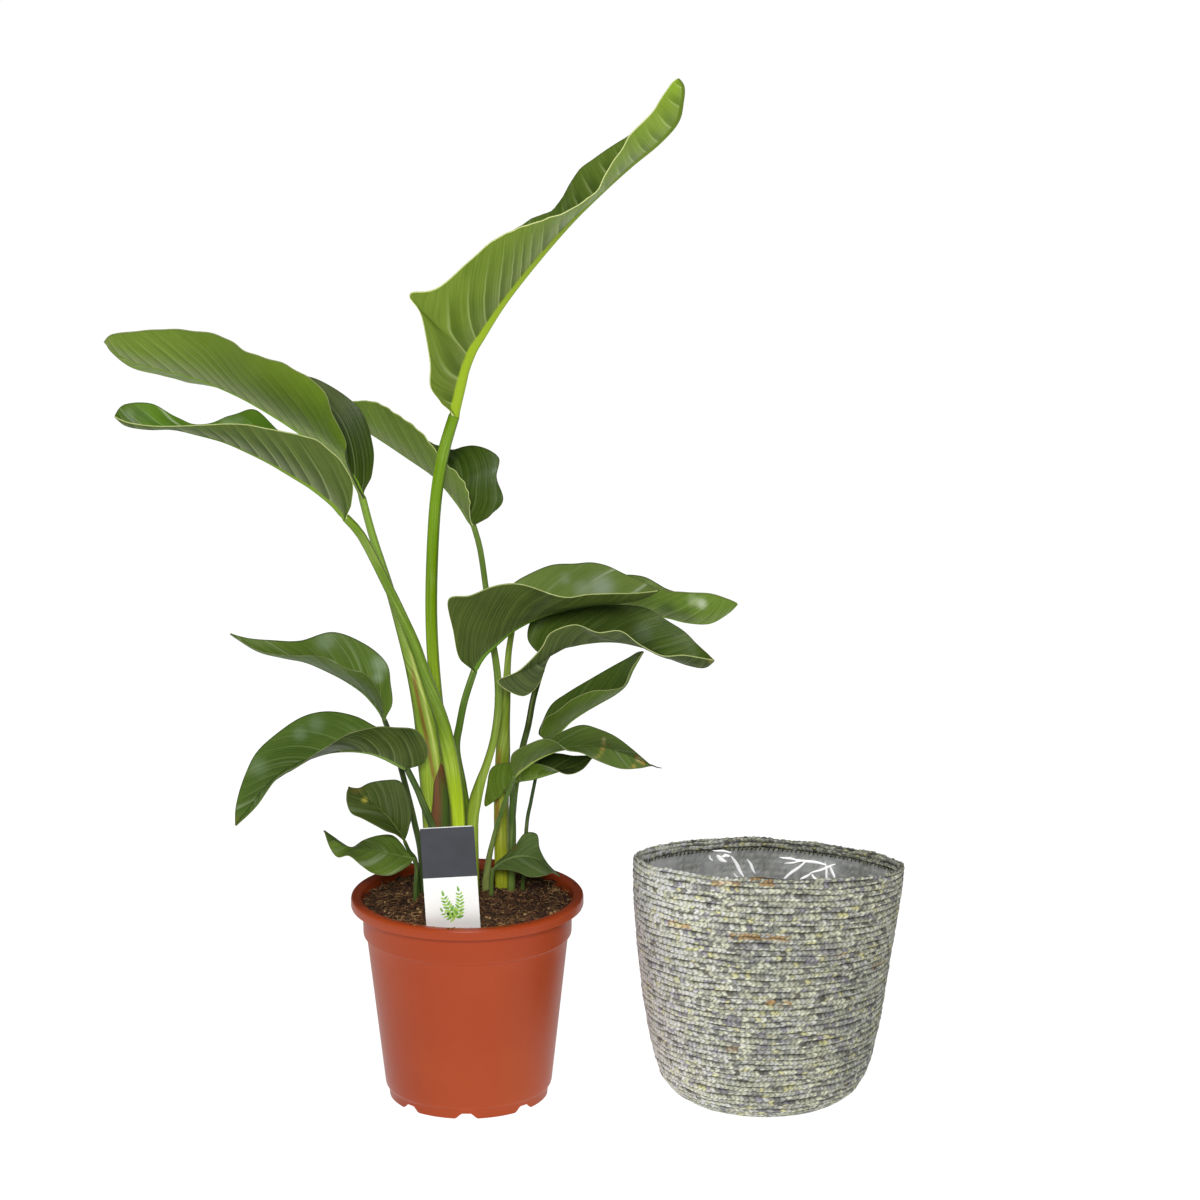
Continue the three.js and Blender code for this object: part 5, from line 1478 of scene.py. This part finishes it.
def grey_patches():
    """Height, angle and reach of each grey patch on the wall."""
    rng = random.Random(SEED + 350)
    ranges = ((8, 172), (0, 2 * math.pi), (3, 7))
    return [[rng.uniform(low, high) for low, high in ranges] for _ in range(PATCH_COUNT)]


def braid_colour(colour, patches, height, angles, sizes, hollow):
    """Patches, streaks, painted shade between the strands and painted light on the left side of one ring."""
    for patch_height, patch_angle, reach in patches:
        apart = (angles - patch_angle + np.pi) % (2 * np.pi) - np.pi
        near = np.exp(-((apart * PATCH_WALL_RADIUS) ** 2 + (height - patch_height) ** 2) / reach ** 2)
        colour = tinted(colour, "88858e", 0.7 * near)
    around = np.degrees(angles) % 360
    for level, begin, finish, strength in STREAKS:
        if abs(height - level) < STREAK_HALF_HEIGHT:
            here = (around > begin) & (around < finish) & (sizes > 0.7)
            colour = tinted(colour, "b58a48", here * strength)
    # Painted light on the left side, a little painted shade on the right, and painted shade where the
    # strands sink between their neighbours.
    leftward = np.clip(-np.cos(angles), 0, 1)
    rightward = np.clip(np.cos(angles), 0, 1)
    level = 0.03 + 0.97 * np.clip(hollow * 1.35, 0, 1) ** 1.5
    level *= (0.55 + 0.65 * sizes) * (0.93 + 1.2 * leftward ** 2 - 0.15 * rightward)
    colour[:, :3] = np.minimum(colour[:, :3] * level[:, None], 0.85)
    return colour


def braid(name, first_line, last_line):
    """A sheet of braided rows, from one line to another along the wall."""
    patches = grey_patches()
    grid, colours = [], []
    for i in range((last_line - first_line) * LINE_SAMPLES + 1):
        line = first_line + i // LINE_SAMPLES
        v = i % LINE_SAMPLES / LINE_SAMPLES
        row = line // 2
        height, inward, sideways, up = wall_place((line + v) * LINE_PITCH)
        angles, _ = even_angles(height, BRAID_STATIONS)
        bumps, start, tints, sizes = row_strands(line)

        # Which strand each point belongs to, and how high the strand stands there.
        upper = line % 2 == 1
        lean = 1 - 0.5 * (1 - v) if upper else -0.5 * v
        warp = 0.9 * np.sin(angles * 5 + row * 2.1) + 0.2 * np.sin(angles * 17 + row * 4.7)
        u = np.arange(BRAID_STATIONS) / BRAID_STATIONS * bumps + start + lean + warp
        which = np.floor(u).astype(int) % bumps
        size = sizes[which]
        across = np.abs(np.sin(np.pi * u)) ** 0.55
        if upper:
            profile = 0.6 + 0.4 * math.sin(math.pi * min(v + 0.2, 1)) - 0.1 * v
        elif v > 0:
            profile = 0.7 + 0.3 * v
        else:
            filled = np.sin(u * 0.83 + row * 2.3) * np.sin(u * 0.31 + row * 1.1)
            profile = 0.6 * np.clip(0.3 + filled, 0, 1)
        bump = profile * (0.35 + 0.65 * across) * (0.4 + 0.6 * size)
        wobble = 0.5 * np.sin(angles * 3 + line * 0.4) + 0.35 * np.sin(angles * 7 + line * 1.1)
        proud = -1.0 + 1.5 * bump + 0.2 * wobble

        # The rows wander up and down a little.
        sway = 0.4 * np.sin(angles * 2 + line * 0.17) + 0.3 * np.sin(angles * 9 + line * 0.31)
        sway += 1.5 * (size - 0.85) * math.sin(math.pi * v)
        sway += 0.45 * np.sin(angles * 4 + row * 2.3) + 0.3 * np.sin(angles * 11 + row * 5.1)
        ring = basket_round(height, angles, inward + sideways * proud)
        ring[:, 2] += sway * min(height / 20, 1) + up * proud
        ring[:, 2] = np.maximum(ring[:, 2], 0.15 + 0.5 * (1 - bump) * (height < 1))
        grid.append(ring)
        # How high the strand stands here; the painted shade is deepest where it sinks.
        hollow = profile * (0.2 + 0.8 * across)
        colours.append(braid_colour(tints[which], patches, height, angles, size, hollow))
    faces = ring_faces(len(grid), BRAID_STATIONS, ends=False)
    piece = mesh_object(name, grid, faces, [SEAGRASS])
    give_colour(piece, "tint", colours)
    return piece


def shaded_ring(rng, code, low, high, level):
    """One colour for each point of a ring of the inside or the foot, at random levels."""
    return [shaded(code, rng.uniform(low, high) * level) for _ in range(INSIDE_STATIONS)]


def inner_wall():
    """The inside of the wall below the rim, and the floor."""
    rng = random.Random(SEED + 400)
    rings, colours = [], []
    for k, height in enumerate([0.6, 4.9, *np.linspace(9, BASKET_HEIGHT - INSIDE_BAND, INSIDE_RINGS)]):
        angles, _ = even_angles(height, INSIDE_STATIONS)
        bump = k % 2
        rings.append(basket_round(height, angles, 2 * LIP + 0.5 - 0.5 * bump))
        colours.append(shaded_ring(rng, "d0d0bc", 0.25, 1.0, 0.6 + 0.4 * bump))
    faces = ring_faces(len(rings), INSIDE_STATIONS, ends=False, inside=True)
    faces.append(tuple(range(INSIDE_STATIONS))[::-1])
    piece = mesh_object("basket_inside", rings, faces, [SEAGRASS])
    give_colour(piece, "tint", colours)


def basket_foot():
    """The flat middle of the base, in rings of braid."""
    rng = random.Random(SEED + 500)
    angles = turns(INSIDE_STATIONS)
    rings, colours = [], []
    for k, radius in enumerate(np.linspace(FOOT_RADIUS, 1, FOOT_RINGS)):
        # The rings that lie higher, in the hollows of the base, get painted shade.
        bump = abs(math.sin(math.pi * k / 4))
        rings.append(circle(radius, angles, 0.9 - 0.75 * bump, BASKET_X))
        colours.append(shaded_ring(rng, "9b9a80", 0.6, 1.05, 0.5 + 0.5 * bump))
    faces = ring_faces(len(rings), INSIDE_STATIONS, inside=True)
    # The widest ring stays open.
    del faces[-2]
    piece = mesh_object("basket_base", rings, faces, [SEAGRASS])
    give_colour(piece, "tint", colours)
    face_outward(piece)


def stitches():
    """Slanted sewing threads that hold the lining under the rim."""
    rng = random.Random(SEED + 600)
    points, faces, colours = [], [], []
    top = BASKET_HEIGHT - INSIDE_BAND
    angles, _ = even_angles(top, STITCH_COUNT)
    for k in range(STITCH_COUNT):
        drop = rng.uniform(3.2, 4.6)
        path = []
        for share in np.linspace(0, 1, 5):
            inward = 2 * LIP + 0.9 + 0.4 * math.sin(math.pi * share)
            path.append(basket_round(top + 1.4 - drop * share, angles[k:k + 1] + 0.016 * share, inward)[0])
        thread = tube_points(path, 0.45, 5)
        add_shape(points, faces, thread, ring_faces(5, 5))
        colours.extend([linear(rng.choice(["3c3e3a", "4a4c46", "6a6c64", "2c2e2a"]))] * len(thread))
    piece = mesh_object("rim_stitches", points, faces, [fibre_material()])
    give_colour(piece, "tint", colours)


def liner_material():
    n = Nodes("clear_film")
    crease_glint, _ = n.attribute("crease_glint")
    cloud = n.noise(30.0, 4.0)
    # The creases are whiter and more opaque: a painted highlight.
    alpha = n.math("MAXIMUM", n.between(cloud, 0.35, 0.7, 0.12, 0.42), crease_glint)
    n.set(Base_Color=n.tones(cloud, "c9d0dc", "e9ecf0"), Roughness=0.14, Alpha=alpha)
    # The film glows a little, as painted light.
    n.set(Emission_Color=(1, 1, 1, 1), Emission_Strength=0.18, Coat_Weight=0.5, Coat_Roughness=0.06)
    n.bump(cloud, 0.002, 0.4)
    return n.material


# White strips that glow: painted highlights along the film's folds.
def glint_material():
    n = Nodes("film_fold_glint")
    n.set(Base_Color=n.tones(n.noise(60.0), "f2f4f6", "ffffff"), Roughness=0.25)
    n.set(Emission_Color=(1, 1, 1, 1), Emission_Strength=0.45)
    return n.material


def back_wall(x, height, inward):
    """The point of the back wall this far sideways from the middle of the mouth."""
    ring = basket_round(height, np.linspace(np.pi - 0.05, 0.05, 300), inward)
    middle = BASKET_X + BASKET_LEVELS[-1][3] + x
    return np.array([np.interp(middle, ring[:, 0], ring[:, k]) for k in range(3)])


# Glowing strips of painted highlight along sharp folds of the film.
def fold_glints():
    points, faces = [], []
    for x0, z0, x1, z1, width in FILM_FOLD_GLINTS:
        length = math.hypot(x1 - x0, z1 - z0)
        side_x, side_z = -(z1 - z0) / length, (x1 - x0) / length
        fold = []
        for share in np.arange(FOLD_KNOTS) / (FOLD_KNOTS - 1):
            half = width / 2 * (0.12 + 0.88 * math.sin(math.pi * min(max(share, 0.02), 0.98)) ** 0.6)
            bow = 0.35 * math.sin(7 * share + x0)
            for off, raised in ((half, 0.6), (-half, 0.6), (0, 1.5)):
                x = x0 + (x1 - x0) * share + side_x * (bow + off)
                z = z0 + (z1 - z0) * share + side_z * (bow + off)
                fold.append(back_wall(x, z, LINER_INWARD + raised))
        add_shape(points, faces, fold, ring_faces(FOLD_KNOTS, 3))
    piece = mesh_object("liner_fold_glints", points, faces, [glint_material()], smooth_faces=False)
    face_outward(piece)


def film_creases():
    """Where each crease is round the wall, its height, lean, reach, size and the strength of its painted
    highlight.
    """
    rng = random.Random(SEED + 700)
    ranges = [(0.5 * math.pi, 2.5 * math.pi), (20, 170), (-1.2, 1.2), (14, 60), (0.4, 1.2), (0, 0.5)]
    return [[rng.uniform(low, high) for low, high in ranges] for _ in range(CREASE_COUNT)]


def liner_piece():
    """The crumpled clear film that lies against the inside of the wall."""
    creases = film_creases()
    rings, marks = [], []
    angles, _ = even_angles(9, LINER_STATIONS)
    for inward in (58, 45, 30, 14, 3):
        ring = basket_round(9, angles, LINER_INWARD + inward)
        ring[:, 2] = LINER_FLOOR
        rings.append(ring)
        marks.append(np.zeros(LINER_STATIONS))
    for height in np.linspace(9, BASKET_HEIGHT - INSIDE_BAND - 1, LINER_RINGS):
        angles, _ = even_angles(height, LINER_STATIONS)
        depth = np.zeros(LINER_STATIONS)
        mark = np.zeros(LINER_STATIONS)
        for angle, level, lean, reach, size, glint in creases:
            off = (angles - angle + np.pi) % (2 * np.pi) - np.pi
            off = off * LINER_RADIUS
            along_crease = (height - level) * math.cos(lean) + off * math.sin(lean)
            across_crease = off * math.cos(lean) - (height - level) * math.sin(lean)
            near = np.exp(-(along_crease / reach) ** 4)
            depth += size * np.exp(-np.abs(across_crease) / CREASE_WIDTH) * near
            # Painted highlight along the crease.
            mark = np.maximum(mark, glint * np.exp(-across_crease ** 2) * near)
        rings.append(basket_round(height, angles, LINER_INWARD + np.clip(depth, 0, 2)))
        marks.append(mark)
    faces = ring_faces(len(rings), LINER_STATIONS, ends=False, inside=True)
    faces.append(tuple(range(LINER_STATIONS)))
    piece = mesh_object("basket_lining", rings, faces, [liner_material()])
    give_colour(piece, "crease_glint", np.repeat(np.ravel(marks), 4))
    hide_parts("basket_liner")


rim_line = int(OUTSIDE_RUN[-1] / LINE_PITCH) // 2 * 2
last_line = int((OUTSIDE_RUN[-1] + math.pi * LIP + INSIDE_BAND - LIP) / LINE_PITCH)
middle_line = rim_line // 4 * 2
low_band = braid("basket_braid_low", 0, middle_line)
braid("basket_braid_high", middle_line, rim_line)
braid("basket_rim", rim_line, last_line)
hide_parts("basket")
inner_wall()
basket_foot()
stitches()
liner_piece()
fold_glints()

# Floor, light and camera. Lengths here are in metres.

FLOOR_HALF = 42
FLOOR_HEIGHT = -0.0004
LIGHT_SIZE = 0.8
LIGHT_TARGET = (0, 0, 0.3)


def floor():
    n = Nodes("pale_floor")
    n.set(Base_Color=(0.2, 0.2, 0.2, 1), Roughness=0.9, Specular_IOR_Level=0.1)
    n.set(Emission_Color=(1, 1, 1, 1), Emission_Strength=1.0)
    mesh = bpy.data.meshes.new("floor")
    signs = ((-1, -1), (1, -1), (1, 1), (-1, 1))
    corners = [(x * FLOOR_HALF, y * FLOOR_HALF, FLOOR_HEIGHT) for x, y in signs]
    mesh.from_pydata(corners, [], [(0, 1, 2, 3)])
    mesh.materials.append(n.material)
    plane = bpy.data.objects.new("floor", mesh)
    bpy.context.scene.collection.objects.link(plane)


def aimed(name, data, position, target):
    """An object that looks from one place at another."""
    thing = bpy.data.objects.new(name, data)
    thing.location = Vector(position)
    thing.rotation_euler = (Vector(target) - thing.location).to_track_quat("-Z", "Y").to_euler()
    bpy.context.scene.collection.objects.link(thing)
    return thing


def area_light(name, position, power):
    data = bpy.data.lights.new(name, "AREA")
    data.shape = "DISK"
    data.size = LIGHT_SIZE
    data.energy = power
    aimed(name, data, position, LIGHT_TARGET)


def world_light():
    world = bpy.data.worlds.new("studio")
    world.use_nodes = True
    background = world.node_tree.nodes["Background"]
    background.inputs["Color"].default_value = (1, 1, 1, 1)
    background.inputs["Strength"].default_value = 0.08
    bpy.context.scene.world = world


def camera():
    data = bpy.data.cameras.new("camera")
    data.lens = LENS
    data.sensor_width = 36
    data.clip_start = 0.1
    data.clip_end = 100
    bpy.context.scene.camera = aimed("camera", data, in_metres(EYE), in_metres(AIM))


floor()
world_light()
area_light("key", (0, -2.8, 1.5), 60)
area_light("top", (0, -0.3, 2.6), 18)
camera()

bpy.context.scene.view_settings.view_transform = "Standard"
